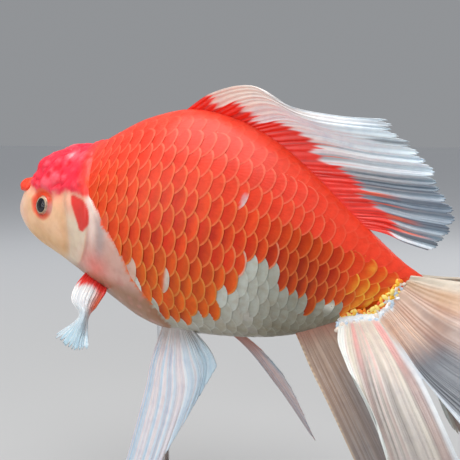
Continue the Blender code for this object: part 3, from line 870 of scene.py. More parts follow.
def scaleMesh(group):
    # the points, quads, colours and patches of these scales
    picked, at = seeds[group], centres[group]
    n = len(picked)
    s, share, side, pitch, rowPitch, place, around, rate = (picked[:, k][:, None] for k in range(8))
    wobble = dice.normal(0, 1, (n, 8))
    longer, taller, leaner, higher = (coat["varies"][k] * wobble[:, k : k + 1] for k in range(4))
    length = coat["reach"] * pitch * (1 + longer)
    tall = coat["half"] * rowPitch * (1 + taller)
    xi = alongScale.ravel()[None] * length
    eta = gridV.ravel()[None] * tall
    level = levelOf(at[:, 0], at[:, 2])
    lean = coat["lean"] * (ramp(0.40, 0.70, level) - 0.5 * ramp(0.5, 0.3, level))[:, None]
    skew = (lean + leaner) * xi
    sectionAt = np.interp(place + xi, travel, tableS)
    shareAt = share + rate * xi - (eta + skew) / around
    base, out = flankFrame(sectionAt, shareAt, side * np.ones_like(xi))
    domed = coat["dome"] * (1 - gridV.ravel() ** 2) * ramp(-0.3, 0.6, alongScale.ravel())
    rimLift = coat["rimLift"] * hump(radiusScale.ravel() - 0.9, 0.1)
    small = pitch / coat["pitch"]
    height = coat["rootLift"] + coat["slope"] * np.maximum(xi, 0) + (domed + rimLift) * small
    smooth = np.maximum(ramp(0.84, 0.97, level), ramp(-6.0, 4.0, aboveLine("smoothLine", at[:, 0], at[:, 2])))
    flat = 1 - 0.5 * ramp(0.30, 0.12, level) - 0.25 * ramp(0.55, 0.75, level) - 0.25 * ramp(0.85, 1.0, level)
    flat = flat * (1 - 0.45 * smooth)
    height = height * (1 + higher) * flat[:, None] - body["coatDepth"]
    thick = coat["thick"] * (0.5 + 0.5 * ramp(1.0, 0.93, radiusScale.ravel()))
    top = base + out * height[..., None]
    low = base + out * (height - thick)[..., None]
    points = np.concatenate([top, low], 1)
    quads = scaleQuads[None] + (np.arange(n) * 2 * count)[:, None, None]
    quads = np.where((side > 0)[..., None], quads[..., ::-1], quads).reshape(-1, 4)
    values, paints = scaleColours(at, length[:, 0], level, smooth, wobble)
    patch = np.stack([alongScale.ravel() / 1.4, gridV.ravel() / 2], -1) * 0.003
    root = np.stack([(s[:, 0] + rowShift) / (len(rowList) - 1), (side * share)[:, 0] / 2 % 1.0], -1) * 0.98
    return points, quads, values, paints, doubled(root[:, None] + 0.01 + patch[None], 1)


def scaleColours(at, length, level, smooth, wobble):
    # each point's place on its scale, and the colours of the scale's middle and rim
    cx, cz = at[:, 0], at[:, 2]
    chance = np.abs(np.sin(np.arange(len(at)) * 12.9898 + 4.1) * 43758.5453) % 1.0
    seen = np.stack([cx + 0.5 * length, cz], -1)
    rise = aboveLine("whiteTop", cx + 0.55 * length, cz)
    white = (rise < 1.2 * (chance - 0.5)).astype(float)
    white[nearestTo(seen, marks["leftRed"])] = 0
    edgeAway, _ = beside(cx, cz, marks["coatFront"])
    white = np.maximum(white, (edgeAway < 0.6) * ramp(4, 1, cz) * (chance > 0.4) * 0.6)
    shown = white[:, None] * np.ones(count)
    sliver = ramp(0.15, -0.10, gridV) * ramp(0.50, 0.66, alongScale + 0.25 * gridV)
    shown[nearestTo(seen, marks["highWhite"])] = 0.85 * sliver.ravel()
    shown[nearestTo(seen, marks["lowWhite"])] = 0.8 * ramp(0.45, 0.75, alongScale.ravel())
    rear = ramp(104, 122, cx) * (1 - 0.75 * ramp(124, 138, cx)) * ramp(0.80, 0.62, level)
    front = ramp(78, 42, cx) * ramp(0.25, 0.45, level)
    gold = ramp(130, 140, cx) * ramp(0.68, 0.58, level) * (chance > 0.55 - 0.55 * ramp(135, 142, cx))
    edged = ramp(6.5, 4.5, rise) * ramp(-1.0, 0.5, rise) * (chance > 0.5) * (np.abs(cx - 105.5) < 8)
    uneven = (1 - 0.65 * ramp(0.5, 0.7, level))[:, None] * wobble
    # the free end's red, the root's and the rim's
    red = laid(redCoat(level), "c8460a", 0.85 * rear) * (1 + 0.10 * uneven[:, 4:5])
    red = laid(red, "ff4526", 0.6 * smooth * ramp(96, 112, cx))
    core = laid(redCoat(level, ("ee2c16", "d82a08", "cf4606")), "8e2000", 0.8 * rear)
    core = core * (1 + 0.12 * uneven[:, 5:6])
    calm = np.maximum(0.88 * smooth, 0.5 * ramp(0.55, 0.75, level))
    core = laid(between(core, red, np.maximum(calm, 0.62 * front)[:, None]), "e65408", 0.8 * gold)
    rim = laid(redCoat(level, ("fb6a50", "f7773f", "ec8a3c")), "c8642c", 0.6 * rear)
    rim = between(rim, red, np.maximum(0.80 * smooth, 0.35 * front)[:, None])
    rim = layered(rim, ("ffb840", 0.85 * gold), ("e8cfc0", 0.6 * edged))
    red = laid(red, "fb8a18", 0.85 * gold)
    # the white patch's, with painted shade low down and aft
    pale = layered(
        plain("d6d8ce", at) * (1 + 0.06 * wobble[:, 6:7]),
        ("b3aa96", 0.7 * ramp(0.30, 0.10, level)),
        ("827f6c", 0.65 * ramp(98, 120, cx)),
    )
    pale[nearestTo(seen, marks["highWhite"])] = colour("e0bcc2")
    silver = laid(pale, "e3e8e0", 0.30 - 0.22 * ramp(96, 116, cx))
    each = np.ones((len(at), 1))
    wide, reachAt = each * gridV.ravel(), each * radiusScale.ravel()
    inner = ramp(0.15, 0.85, alongScale.ravel() + 0.08 * wobble[:, 7:8])
    shade = between(core[:, None], red[:, None], inner[..., None])
    shade = between(shade, pale[:, None] * (0.86 + 0.14 * inner)[..., None], shown[..., None])
    rimShade = between(rim[:, None], silver[:, None], shown[..., None])
    glint = white[:, None] * ramp(0.75, 1.0, chance)[:, None] * hump(wide - 0.2, 0.4)
    spark = (gold * (0.3 + 0.7 * (chance > 0.7)))[:, None] * hump(wide - 0.6 * (chance[:, None] - 0.5), 0.3)
    shade = laid(shade, "ffd24a", 0.8 * spark * inner)
    values = {"rim": doubled(reachAt, 1), "wide": doubled(wide, 1), "glint": doubled(glint, 1)}
    return values, {"paint": doubled(shade, 1), "rimPaint": doubled(rimShade, 1)}


def scaleFinish(start):
    reach = start.value("rim")
    wide = start.value("wide")
    glint = start.value("glint")
    soft = start.grain(420.0, 3.0)
    edge = (reach + soft * 0.05).over(0.88, 0.98)
    base = edge.mixed(start.paint("paint"), start.paint("rimPaint"))
    base = soft.tinted(0.3, 0.8, base, (0.86, 0.78, 0.72))
    rings = start.math("SINE", reach * 90.0)
    rays = start.math("SINE", wide * 34.0 / (reach + 0.4))
    height = rings * 0.25 + rays * 0.2 + soft * 0.5
    return {
        "Base Color": (glint * 0.6).held().mixed(base, (0.95, 0.96, 0.90, 1.0)),
        "Roughness": (0.34 + 0.14 * soft - 0.12 * glint).held(),
        "Metallic": (glint * 0.7).held(),
        "Normal": start.bump(height, 0.18, 0.00025),
        "Subsurface Weight": 0.10,
        "Subsurface Radius": (1.0, 0.35, 0.15),
        "Subsurface Scale": 0.0015,
        "Coat Weight": 0.12,
        "Coat Roughness": 0.22,
        "Specular IOR Level": 0.2,
    }


scaleLook = finish("scaleEnamel", scaleFinish)
upper = levelOf(centres[:, 0], centres[:, 2]) > 0.5
for side, word in flanks:
    for part, chosen in (("upper", upper), ("lower", ~upper)):
        group = (seeds[:, 2] == side) & chosen
        points, quads, values, paints, uv = scaleMesh(group)
        name = "scales_" + word + "_" + part
        makePiece(name, points, quads, scaleLook, (), values, paints, uv, 50)
        print(name, "triangles", 2 * len(quads))


# small broken scales, white and gold, where the tail fins grow out of the body
print("setting the small scales at the tail")
crust = {
    "line": [(137.8, -4.6, -9.8), (141.4, -5, -8), (144.4, -5.2, -6.6), (148.4, -5, -4.8),
             (150.6, -4.8, -2.4), (152.2, -4.4, 0.8), (153.8, -3.8, 4), (155, -3, 7.4)],
    "steps": 38,
    "rows": [-1.9, -1, -0.1, 0.8, 1.6, 2.3],
    "goldShare": [1, 0.75, 0.3, 0.05, 0, 0],  # of the beads in each row
    "golds": ("f0560c", "f98a14", "ffc030", "ffe27a"),
    "whites": ("fbfdff", "e2edf5", "c4d9ea", "f4e4d4"),
    "missing": 0.12,
    "size": 0.80,
    "bead": (1.35, 0.5, 0.8),  # length as a share of the size, depth in millimetres, width as a share
    "scatter": 0.9,
    "rings": (6, 10),
}


def crustMesh(side):
    # flattened beads that overlap along the line
    rings, around = crust["rings"]
    long, deep, wide = crust["bead"]
    turns = np.linspace(0, 2 * math.pi, around, endpoint=False)
    rise, turn = np.meshgrid(np.linspace(0.12, math.pi - 0.12, rings), turns, indexing="ij")
    ball = np.stack([np.sin(rise) * np.cos(turn), np.cos(rise), np.sin(rise) * np.sin(turn)], -1)
    ball = ball.reshape(-1, 3)
    quads, caps, points, shade, spread = [], [], [], [], []
    line = through(crust["line"], np.linspace(0, len(crust["line"]) - 1, crust["steps"]))
    along = np.gradient(line, axis=0)
    along /= np.linalg.norm(along, axis=1, keepdims=True)
    for step, (at, ahead) in enumerate(zip(line, along)):
        across = np.array([ahead[2], 0, -ahead[0]])
        for k, row in enumerate(crust["rows"]):
            chance = dice.uniform(0, 1, 6)
            t = step / crust["steps"]
            if row > 2.6 - 2.2 * t or chance[4] < crust["missing"]:
                continue
            size = crust["size"] * (0.7 + 0.7 * chance[0])
            flare = 1.7 - 1.4 * t + (1.45 - 0.95 * t) * row if row > 0 else 0.15 - 0.25 * row
            spot = at + across * (row + crust["scatter"] * (chance[1] - 0.5)) + ahead * (chance[2] - 0.5)
            spot = spot - [0, flare + 0.3 * (chance[3] - 0.5), 0]
            heading = 2 * math.pi * chance[5]
            lengthwise = across * math.cos(heading) + ahead * math.sin(heading)
            sideways = ahead * math.cos(heading) - across * math.sin(heading)
            stretch = np.stack([lengthwise * size * long, np.array([0, -deep, 0]), sideways * size * wide])
            start = len(points) * len(ball)
            # each bead has a patch of its own on a grid of 16 by 16
            spread.append(ball[:, [0, 2]] * 0.024 + 0.03 + [len(points) % 16 / 16, len(points) // 16 / 16])
            points.append(mirrored(spot + ball @ stretch, -side))
            quads.append(gridQuads(rings, around, True) + start)
            caps += [[c + start for c in cap] for cap in endCaps(rings, around)]
            tones = crust["golds"] if chance[2] < crust["goldShare"][k] else crust["whites"]
            shade.append(plain(tones[int(chance[3] * 4)], ball))
    quads, points, shade, spread = (np.concatenate(parts) for parts in (quads, points, shade, spread))
    if side < 0:
        return points, quads, caps, shade, spread
    return points, quads[:, ::-1], [cap[::-1] for cap in caps], shade, spread


def crustFinish(start):
    soft = start.grain(900.0, 3.0)
    return {
        "Base Color": soft.tinted(0.35, 0.8, start.paint("paint"), (0.86, 0.84, 0.84)),
        "Roughness": 0.25 + 0.2 * soft,
        "Normal": start.bump(soft, 0.4, 0.0003),
        "Coat Weight": 0.3,
        "Coat Roughness": 0.1,
    }


crustLook = finish("crustEnamel", crustFinish)
for side, word in flanks:
    points, quads, caps, shade, spread = crustMesh(side)
    makePiece("root_scales_" + word, points, quads, crustLook, paints={"paint": shade},
              uv=spread, caps=caps)


print("building the fins")
# thin webs over branching rays; across and along count the points, root is a web's thickness at its root, and
# rootReach is how far the root's colour runs out along the rays
# what a fin has unless its own entry says otherwise; tip is the web's thickness at its end, and lead is what
# the first ray adds, or leadAft what the last ray adds instead
anyFin = {"tip": 0.3, "lead": 0.5, "ridge": 0.42, "rayHighlight": 0.35, "calm": -1.0, "crust": 0.0}
fins = {
    "dorsal_fin": {
        "rays": [
            [(66, 0, 46), (77, -3, 54.6), (91.5, -5, 59.3), (106, -5, 55.2), (121, -1, 55.2),
             (137, 0, 57.4)],
            [(82, 0, 46.4), (98, -4, 54), (117, -4, 51.6), (142, 1, 53.6)],
            [(99, 0, 42.6), (114, 0, 46.6), (131, 1, 46.8), (151.5, 2, 48.6)],
            [(115, 0, 35), (129, 1, 37), (144, 2, 38.4), (158.5, 0, 40.6)],
            [(129, 0, 26.8), (141, 1, 29.2), (153, 0, 29.6), (165.5, -2, 31)],
            [(139, 0, 21.4), (146, 0, 21.4), (152, -1, 20.4), (161, -2, 20)],
        ],
        "across": 300, "along": 84, "bundles": 17, "pleat": 0.95, "notch": 0.085, "root": 1.5,
        "web": "f2f0f2", "groove": "6f8088", "grooveShare": 0.6, "streak": "f8e2d6", "tipPaintedLight": "a4cee4",
        "rootPaint": "f02a14", "rootReach": (13, 6.5, 11, 11, 10, 10), "ragged": 7, "rootSoft": 1.4,
        "rootStreak": "b81206", "calm": 0.40,
    },
    "pectoral": {
        "rays": [
            [(46, -13.6, -17), (46.3, -22, -22), (48.2, -26, -25.8), (54, -29, -29.6), (46, -31, -39)],
            [(49.1, -13, -18.2), (52.2, -22, -20.9), (53.8, -27, -24.6), (57.1, -31, -28.4),
             (56.7, -35, -40.6)],
            [(52.8, -12, -20), (57.2, -19, -21.6), (56.8, -23, -26.1), (56.4, -27, -30.1),
             (62.9, -34, -37.2)],
        ],
        "across": 120, "along": 84, "bundles": 9, "pleat": 0.25, "notch": 0.10, "root": 2.2,
        "web": "f6f0ec", "groove": "b4c4cc", "grooveShare": 0.5, "streak": "f4f4f4", "tipPaintedLight": "84c6de",
        "rootPaint": "e8302a", "rootReach": (9, 8, 12), "ragged": 3, "rootSoft": 1.6,
    },
    "pelvic_left": {
        "rays": [
            [(77.6, -9, -30), (77, -13, -43), (77.6, -16, -58), (76, -21, -102)],
            [(81, -9, -30), (83.8, -15, -42.3), (87, -20, -58), (86, -27, -94)],
            [(84.8, -9, -29), (91.7, -14, -35.9), (96.9, -17, -44.5), (95.9, -21, -61.5)],
            [(88, -9, -28), (94.5, -11, -30.6), (99.2, -13, -33), (102.8, -15, -36)],
        ],
        "across": 180, "along": 100, "bundles": 12, "pleat": 0.4, "notch": 0.05, "root": 2,
        "web": "e2e6ea", "groove": "a4c6dc", "grooveShare": 0.4, "streak": "f4dedc", "tipPaintedLight": "c4def2",
        # its grey root is painted shade under the belly
        "rootPaint": "ada098", "rootReach": (4, 5), "ragged": 2, "rootSoft": 8,
    },
    "pelvic_right": {
        "rays": [
            [(77.6, 9, -30), (98.6, 14, -35.4), (116.4, 25, -54), (133.8, 32, -73.4)],
            [(81, 9, -29.6), (101.6, 11, -33.4), (118, 18, -49.4), (135.4, 24, -68.8)],
            [(84.8, 8.6, -29), (103.6, 8, -31.8), (114.6, 10, -38.4), (123, 12, -45.4)],
            [(88, 8, -28), (97.6, 6.6, -30), (105.6, 6.4, -31.8), (111.6, 7, -34.2)],
        ],
        "across": 150, "along": 96, "bundles": 11, "pleat": 0.35, "notch": 0.06, "root": 2,
        "web": "f4dcd8", "groove": "d8ced4", "grooveShare": 0.45, "streak": "f4c8c2", "tipPaintedLight": "c8dcea",
        "rootPaint": "cf978a", "rootReach": (26, 26), "ragged": 5, "rootSoft": 8,
    },
    "anal": {
        "rays": [
            [(124, -3.4, -18.6), (133, -8, -28), (143, -11, -38), (160, -15, -56.5)],
            [(130, -3.4, -14), (141.4, -7, -25), (152, -10, -35.6), (170, -14, -55)],
            [(136, -3, -10.4), (148, -6, -18.6), (158.6, -8, -28), (172, -11, -41)],
        ],
        "across": 120, "along": 84, "bundles": 8, "pleat": 0.12, "notch": 0.06, "root": 1.8, "ridge": 0.2,
        "web": "a88c7a", "groove": "9a8474", "grooveShare": 0.3, "streak": "b59a86", "tipPaintedLight": "7e868c",
        "rootPaint": "b0684c", "rootReach": (3, 3), "ragged": 1.5, "rootSoft": 6, "rayHighlight": 0.2,
    },
    "tail_upper": {
        "rays": [
            [(155, -0.9, 10), (164, -1.6, 11.6), (178, -4.5, 14), (204, -9, 15.6), (231, -14, 13)],
            [(154, -2.6, 5.4), (165.2, -9, 2.8), (177, -18, 2.6), (203, -25, 3.6), (230, -29, 0.6)],
            [(152, -3.6, 0.4), (164.5, -15, -4), (176, -27, -5), (201, -37, -7), (226, -42, -12)],
            [(150.4, -4.2, -2.4), (161.4, -17, -6.8), (171, -30, -9.2), (194, -43, -13.6), (218, -50, -23)],
            [(149.3, -4.5, -3.7), (160.9, -18.4, -8.5), (169.5, -30.3, -11.3), (186, -43, -18.6),
             (208, -51, -31)],
        ],
        "across": 190, "along": 96, "bundles": 12, "pleat": 0.22, "notch": 0.05, "root": 1.6, "ridge": 0.2,
        # this lobe's brownish web is painted shade, as of a thin sheet turned away from the light
        "web": "c8a995", "groove": "9b8f88", "grooveShare": 0.35, "streak": "d9b69c", "tipPaintedLight": "98a6b2",
        "rootPaint": "dce6ec", "rootReach": (-4, -1, 2.6, 2.8, 3), "ragged": 1.6, "rootSoft": 0.8,
        "crust": 0.5, "rayHighlight": 0.2,
    },
    "tail_lower": {
        "rays": [
            [(148.7, -4.5, -4.3), (160.3, -18.4, -9.1), (168.9, -30.3, -11.9), (182, -44, -23),
             (200, -53, -43)],
            [(144.4, -4.8, -6), (156.6, -24, -11.3), (165.1, -38, -16.9), (178, -49.5, -29.5),
             (196, -58, -57)],
            [(141.4, -4.6, -7.6), (148.6, -22, -12.6), (156.6, -35, -19.6), (170, -48, -33.5),
             (190, -58, -63)],
            [(138.6, -4.2, -9), (141.4, -16, -13.6), (148.3, -28, -16.8), (162.4, -43, -26),
             (184, -54, -59)],
        ],
        "across": 180, "along": 96, "bundles": 11, "pleat": 0.3, "notch": 0.05, "root": 1.8, "ridge": 0.22,
        "web": "d2c6ba", "groove": "989490", "grooveShare": 0.35, "streak": "dcb6ae", "tipPaintedLight": "b4bfc6",
        "rootPaint": "e2edf2", "rootReach": (3.4, 3.8, 3.4), "ragged": 1.8, "rootSoft": 0.8,
        "crust": 0.6, "rayHighlight": 0.2, "leadAft": 1.1,
    },
}


def bands(a, times, seed):
    # soft stripes of uneven width and strength along the rays, from 0 to 1
    knots = np.random.default_rng(seed).uniform(0, 1, times + 1)
    return np.clip(through(knots, a.ravel() * times), 0, 1).reshape(a.shape)


def finSheet(key, coats):
    # the middle surface of a fin with its ray pattern, on a grid of across by along points; coats gives the
    # colours that only this fin has
    look = {**anyFin, **fins[key]}
    across = np.linspace(0, 1, look["across"])
    along = np.linspace(0, 1, look["along"])
    steps = np.linspace(0, 1, 241)
    keys = np.stack([through(ray, steps * (len(ray) - 1)) for ray in look["rays"]])
    table = through(keys, across * (len(keys) - 1))
    a, r = np.meshgrid(across, along, indexing="ij")
    seed = look["bundles"] * 1.7 + look["across"] * 0.01
    warp = a + (0.22 * np.sin(a * 19 + seed) + 0.12 * np.sin(a * 41 + seed)) / look["bundles"]
    phase = warp * look["bundles"]
    number = np.floor(phase)
    chance = np.abs(np.sin((number + seed) * 78.233) * 43758.5453) % 1.0
    # the ragged end: each bundle of rays ends in its own rounded tip, with finer teeth between its branches
    valley = np.abs((phase % 1.0) - 0.5) * 2
    teeth = np.abs((phase * 4 % 1.0) - 0.5) * 2
    end = 1 - look["notch"] * (0.55 * valley**3 + 0.25 * teeth**2 + 0.35 * chance * (0.2 + a * (1 - a) * 4))
    end = np.where((a < 1e-6) | (a > 1 - 1e-6), end - 0.01, end)
    index = np.clip(r * end, 0, 1) * (len(steps) - 1)
    k0 = np.clip(index.astype(int), 0, len(steps) - 2)
    rows = np.arange(len(across))[:, None]
    part = (index - k0)[..., None]
    points = between(table[rows, k0], table[rows, k0 + 1], part)
    run = np.linalg.norm(np.diff(points, axis=1), axis=-1)
    travelled = np.concatenate([np.zeros((len(across), 1)), np.cumsum(run, 1)], 1)
    # ridges that branch twice on their way out
    one, two, four = (0.5 + 0.5 * np.cos(2 * math.pi * phase * times) for times in (2, 4, 8))
    rays = between(between(one, two, ramp(0.30, 0.55, r)), four, ramp(0.62, 0.82, r))
    folds = np.cos(2 * math.pi * phase)
    lively = 1 - 0.8 * ramp(look["calm"] + 0.06, look["calm"] - 0.06, a)
    quads = gridQuads(look["across"], look["along"])
    normals = normalsOf(points.reshape(-1, 3), quads).reshape(points.shape)
    edges = ramp(0, 0.02, a) * ramp(1, 0.98, a)
    points = points + normals * (look["pleat"] * 0.5 * lively * folds * ramp(0.0, 0.6, r) * edges)[..., None]
    thickness = between(look["tip"], look["root"], np.exp(-travelled / 5.0))
    thickness += look["ridge"] * (1 - 0.62 * r) * rays * ramp(0.0, 0.12, r)
    lead = look["leadAft"] * ramp(0.95, 1.0, a) if "leadAft" in look else look["lead"] * ramp(0.035, 0.0, a)
    thickness += lead * (1 - r * 0.7)
    thickness *= 0.45 + 0.55 * ramp(1.0, 0.985, r)
    crusted = look["crust"] * ramp(5.0, 2.5, travelled) * (0.3 + np.abs(rough(points, 2.4, 6.0)) * 2.2)
    thickness += crusted * ramp(0.0, 0.02, r) * edges
    # colours
    # where painted shade goes: the valleys of the pleats between the rays
    groove = ramp(0.35, -0.9, folds + 0.25 * (two - 0.5))
    rays = rays * (0.3 + 0.7 * lively)
    fray = look["ragged"] * ((chance - 0.35) + 0.35 * (one - 0.5))
    reach = through(look["rootReach"], a.ravel() * (len(look["rootReach"]) - 1)).reshape(a.shape)
    root = ramp(look["rootSoft"], -look["rootSoft"], travelled - reach - fray)
    paint = layered(
        plain(look["web"], points),
        (look["streak"], 0.8 * ramp(0.45, 0.9, chance) * ramp(-0.3, 0.6, folds)),
        # painted shade between the rays
        (look["groove"], look["grooveShare"] * lively * groove * ramp(0.0, 0.3, r)),
        # bluish or grey tint towards the tips, painted light and shade
        (look["tipPaintedLight"], 0.65 * ramp(0.55, 1.0, r) * (0.5 + 0.5 * chance)),
        # painted highlight along the ray ridges
        ("ffffff", look["rayHighlight"] * rays * ramp(0.1, 0.5, r) * (1 - groove)),
        *coats(a, r, travelled),
        (look["rootPaint"], root),
    )
    if "rootStreak" in look:
        streak = 0.6 * root * ramp(0.5, 0.8, bands(a, 120, 17)) * ramp(1.0, 4.0, travelled)
        paint = laid(paint, look["rootStreak"], streak)
    return {"points": points.reshape(-1, 3), "quads": quads, "thickness": thickness.ravel(), "a": a.ravel(),
            "paint": paint.reshape(-1, 3), "rays": rays.ravel(), "travel": travelled.ravel(), "r": r.ravel(),
            "columns": look["along"]}


def finFinish(start):
    rays = start.value("rays")
    soft = start.grain(330.0, 4.0)
    joints = start.math("SINE", start.value("travel") * 5.2)
    height = rays * 0.5 + joints * rays * 0.12 + soft * 0.25
    return {
        "Base Color": soft.tinted(0.35, 0.85, start.paint("paint"), (0.86, 0.86, 0.90)),
        "Roughness": 0.36 + 0.16 * soft,
        "Normal": start.bump(height, 0.3, 0.0003),
        "Subsurface Weight": 0.30,
        "Subsurface Radius": (1.0, 0.8, 0.7),
        "Subsurface Scale": 0.0012,
        "Coat Weight": 0.25,
        "Coat Roughness": 0.2,
    }


finLook = finish("finWeb", finFinish)


def finPiece(name, sheets, side, nodes):
    # one or two joined sheets as a closed web; side mirrors the left one
    kinds = ("points", "thickness", "paint", "rays", "travel", "a", "r")
    joined = [np.concatenate([sheet[kind] for sheet in sheets]) for kind in kinds]
    points, thickness, paint, rays, travel, a, r = joined
    starts = np.cumsum([0] + [len(sheet["r"]) for sheet in sheets])
    quads = np.concatenate([sheet["quads"] + start for sheet, start in zip(sheets, starts)])
    number = (np.arange(len(points)) >= starts[1]).astype(int)
    if len(sheets) > 1:
        # the two lobes share their border as far as the fork
        border = np.arange(sheets[0]["columns"] // 2)
        first, second = starts[1] - sheets[0]["columns"] + border, starts[1] + border
        points[first] = (points[first] + points[second]) / 2
        swap = np.arange(len(points))
        swap[second] = first
        quads = swap[quads]
    out = normalsOf(points, quads) * thickness[:, None] / 2
    both = np.concatenate([points + out, points - out])
    faces = plateQuads(quads, len(points))
    if side > 0:
        both, faces = mirrored(both, -1), faces[:, ::-1]
    used = np.unique(faces)
    back = np.zeros(len(both), int)
    back[used] = np.arange(len(used))
    uv = np.stack([(a + number) / len(sheets) * 0.47, r * 0.97], -1)
    uv = np.concatenate([uv + [0.01, 0.01], uv + [0.51, 0.01]])
    values = {"rays": doubled(rays)[used], "travel": doubled(travel)[used]}
    makePiece(name, both[used], back[faces], finLook, nodes, values,
              {"paint": doubled(paint)[used]}, uv[used])


def dorsalCoats(a, r, travelled):
    streak = ramp(0.66, 0.80, bands(a, 60, 21)) * ramp(26, 16, travelled) * ramp(0.30, 0.40, a)
    return [
        ("ecd8cb", ramp(0.36, 0.05, a) * ramp(1.0, 0.4, r)),
        ("cfe2ec", 0.5 * ramp(0.4, 0.7, bands(a, 44, 5)) * ramp(0.3, 0.7, r)),
        # painted highlight along the fold
        ("eaf8ff", 0.9 * hump(a - 0.30, 0.16) * ramp(0.30, 0.55, r)),
        # painted shade: dark stripes between the rays of the rear part
        ("52616e", 0.85 * ramp(0.48, 0.66, a) * ramp(0.50, 0.66, bands(a, 44, 9)) * ramp(0.10, 0.3, r)),
        # painted shade over the rear part
        ("607284", 0.75 * ramp(0.50, 0.72, a) * ramp(1.0, 0.86, a) * ramp(0.1, 0.4, r)),
        # painted shade in the notch near the tip
        ("4c5a66", 0.7 * hump(a - 0.30, 0.035) * ramp(0.80, 0.9, r) * ramp(0.35, 0.6, bands(a, 140, 3))),
        ("f0643c", 0.85 * streak),
    ]


def pectoralCoats(a, r, travelled):
    return [("f26a44", ramp(0.62, 0.94, a) * ramp(0.80, 0.55, r))]


def pelvicCoats(a, r, travelled):
    return [
        ("ecd2d0", 0.5 * ramp(0.4, 0.8, bands(a, 40, 4)) * ramp(0.95, 0.6, a)),
        ("a8c8e0", 0.5 * ramp(0.45, 0.8, bands(a, 48, 8)) * ramp(0.05, 0.3, r)),
        ("acc4d0", 0.75 * ramp(0.5, 0.9, a)),
    ]


def tailUpperCoats(a, r, travelled):
    return [
        # painted shade: brown near the root and dark grey-blue further out
        ("ba8c74", 0.6 * ramp(0.45, 0.8, bands(a, 11, 2)) * ramp(0.7, 0.4, r)),
        ("93796c", 0.5 * ramp(0.5, 0.8, bands(a, 13, 6)) * ramp(0.05, 0.3, r)),
        ("5c656e", 0.95 * ramp(0.22, 0.60, a + 0.15 * bands(a, 12, 3)) * ramp(0.16, 0.48, r)),
        ("bf9c7c", ramp(0.22, 0.12, a)),
        ("cbbfac", ramp(0.10, 0.03, a)),
        # painted highlight along the lobe's lower edge
        ("c4ccd2", ramp(0.90, 0.98, a) * ramp(0.12, 0.35, r)),
    ]


def tailLowerCoats(a, r, travelled):
    return [
        ("e6a09c", 0.8 * ramp(0.36, 0.72, bands(a, 9, 12)) * ramp(0.0, 0.1, r)),
        ("dcd8c6", 0.6 * ramp(0.45, 0.8, bands(a, 10, 31))),
        ("928a84", 0.75 * ramp(0.42, 0.75, bands(a, 12, 7)) * ramp(0.10, 0.45, r)),
        # painted shade: greyer in the middle of the lobe and darker towards the tips
        ("8c8886", 0.5 * ramp(0.10, 0.35, a) * ramp(0.75, 0.5, a) * ramp(0.25, 0.55, r)),
        ("a8a098", 0.4 * ramp(0.35, 0.75, r)),
        ("e6eae4", ramp(0.80, 0.90, a)),
        ("c8ccce", ramp(0.10, 0.02, a) * ramp(0.1, 0.3, r)),
    ]


def analCoats(a, r, travelled):
    beads = 0.6 + 0.4 * np.sin(travelled * 3.2)
    return [
        ("7c7e82", 0.6 * ramp(0.2, 0.7, a) * ramp(0.25, 0.6, r)),
        ("e0c8a8", ramp(0.05, 0.015, a) * beads),
    ]


finPiece("dorsal_web", [finSheet("dorsal_fin", dorsalCoats)], -1, ["dorsal_fin"])
for side, word in flanks:
    finPiece("pectoral_web_" + word, [finSheet("pectoral", pectoralCoats)], side, ["pectoral_fin_" + word])
    finPiece("anal_web_" + word, [finSheet("anal", analCoats)], side, ["anal_fin_" + word])
    lobes = [finSheet("tail_upper", tailUpperCoats), finSheet("tail_lower", tailLowerCoats)]
    finPiece("tail_web_" + word, lobes, side, ["tail_fin_upper_" + word, "tail_fin_lower_" + word])
    finPiece("pelvic_web_" + word, [finSheet("pelvic_" + word, pelvicCoats)], -1, ["pelvic_fin_" + word])


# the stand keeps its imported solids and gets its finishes
def walnutFinish(start):
    figure = start.grain(1.0, 5.0, 0.6, (9.0, 70.0, 70.0))
    rings = start.math("SINE", figure * 46.0) * 0.5 + 0.5
    pores = start.grain(1.0, 2.0, 0.5, (160.0, 1900.0, 1900.0))
    base = rings.mixed((0.085, 0.036, 0.018, 1.0), (0.19, 0.088, 0.042, 1.0))
    base = pores.over(0.58, 0.72).mixed(base, (0.045, 0.02, 0.012, 1.0))
    return {
        "Base Color": base,
        "Roughness": 0.30 + 0.12 * pores,
        "Normal": start.bump(pores * 0.6 + rings * 0.2, 0.2, 0.0003),
        "Coat Weight": 0.5,
        "Coat Roughness": 0.12,
    }


def steelFinish(start):
    lines = start.grain(1.0, 2.0, 0.5, (2600.0, 2600.0, 60.0))
    return {
        "Base Color": lines.mixed((0.55, 0.56, 0.58, 1.0), (0.72, 0.73, 0.75, 1.0)),
        "Metallic": 1.0,
        "Roughness": 0.20 + 0.14 * lines,
        "Normal": start.bump(lines, 0.06, 0.0001),
    }


def brassFinish(start):
    lines = start.grain(1.0, 2.0, 0.5, (90.0, 90.0, 3200.0))
    patina = start.grain(160.0, 3.0)
    base = patina.over(0.45, 0.8).mixed((0.76, 0.56, 0.26, 1.0), (0.52, 0.36, 0.15, 1.0))
    return {
        "Base Color": base,
        "Metallic": 1.0,
        "Roughness": 0.24 + 0.16 * lines,
        "Normal": start.bump(lines, 0.1, 0.0001),
    }


print("finishing the stand")
standLooks = {"stand_base": walnutFinish, "stand_rod": steelFinish, "stand_collar": brassFinish}
for node, make in standLooks.items():
    look = finish(node + "Finish", make)
    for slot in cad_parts[node].material_slots:
        slot.material = look


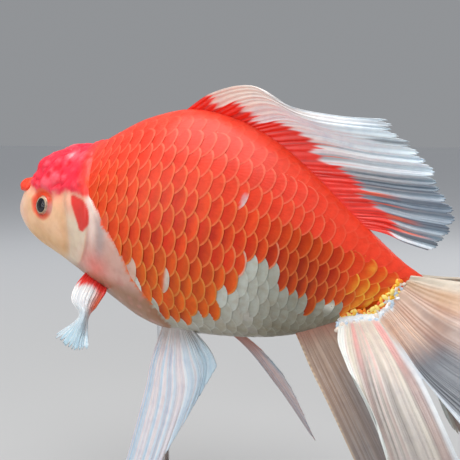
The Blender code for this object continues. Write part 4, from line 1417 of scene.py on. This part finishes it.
# floor, light and camera
def floorFinish(start):
    cloudy = start.grain(3.0, 3.0)
    near = cloudy.mixed((0.50, 0.50, 0.50, 1.0), (0.55, 0.55, 0.545, 1.0))
    away = start.node("VectorMath", {"operation": "LENGTH"}, {0: start.place()}, "Value")
    return {
        # painted light: the floor is painted paler away from its middle, making up for the lamps' fall-off
        "Base Color": away.over(0.15, 0.9).mixed(near, (0.93, 0.94, 0.96, 1.0)),
        "Roughness": 0.75,
    }


studio = {"floorSize": 30.0, "floorRings": 6, "world": (0.62, 0.64, 0.67), "worldPower": 0.46}
floorMesh = bpy.data.meshes.new("studioFloor")
sides = np.linspace(-studio["floorSize"] / 2, studio["floorSize"] / 2, studio["floorRings"] + 1)
floorPoints = [(float(a), float(b), 0.0) for a in sides for b in sides]
floorMesh.from_pydata(floorPoints, [], gridQuads(len(sides), len(sides)).tolist())
floorMesh.materials.append(finish("paleFloor", floorFinish))
floor = bpy.data.objects.new("studio_floor", floorMesh)
bpy.context.scene.collection.objects.link(floor)

scene = bpy.context.scene
scene.world = bpy.data.worlds.new("studioWorld")
scene.world.use_nodes = True
backdrop = scene.world.node_tree.nodes["Background"]
backdrop.inputs["Color"].default_value = (*studio["world"], 1.0)
backdrop.inputs["Strength"].default_value = studio["worldPower"]
scene.view_settings.view_transform = "Standard"


def aim(thing, at, toward):
    thing.location = at
    thing.rotation_euler = (Vector(toward) - Vector(at)).to_track_quat("-Z", "Y").to_euler()
    scene.collection.objects.link(thing)


lamps = {
    "overhead": {"at": (0.02, -0.10, 0.75), "toward": (0.02, 0.0, 0.12), "size": 0.60, "power": 5.2},
    "front": {"at": (-0.30, -0.70, 0.40), "toward": (0.0, 0.0, 0.12), "size": 0.60, "power": 2.3},
    "behind": {"at": (0.45, 0.60, 0.55), "toward": (0.0, 0.0, 0.12), "size": 0.50, "power": 1.4},
}
for name, lamp in lamps.items():
    light = bpy.data.lights.new(name, "AREA")
    light.size = lamp["size"]
    light.energy = lamp["power"]
    aim(bpy.data.objects.new(name, light), lamp["at"], lamp["toward"])

view = {"at": (0.09475, -0.21026, 0.16397), "toward": (0.0098, 0.0, 0.1321), "lens": 50.0, "sensor": 36.0}
camera = bpy.data.objects.new("camera", bpy.data.cameras.new("camera"))
camera.data.lens = view["lens"]
camera.data.sensor_width = view["sensor"]
camera.data.clip_start = 0.01
aim(camera, view["at"], view["toward"])
scene.camera = camera

bpy.context.view_layer.update()
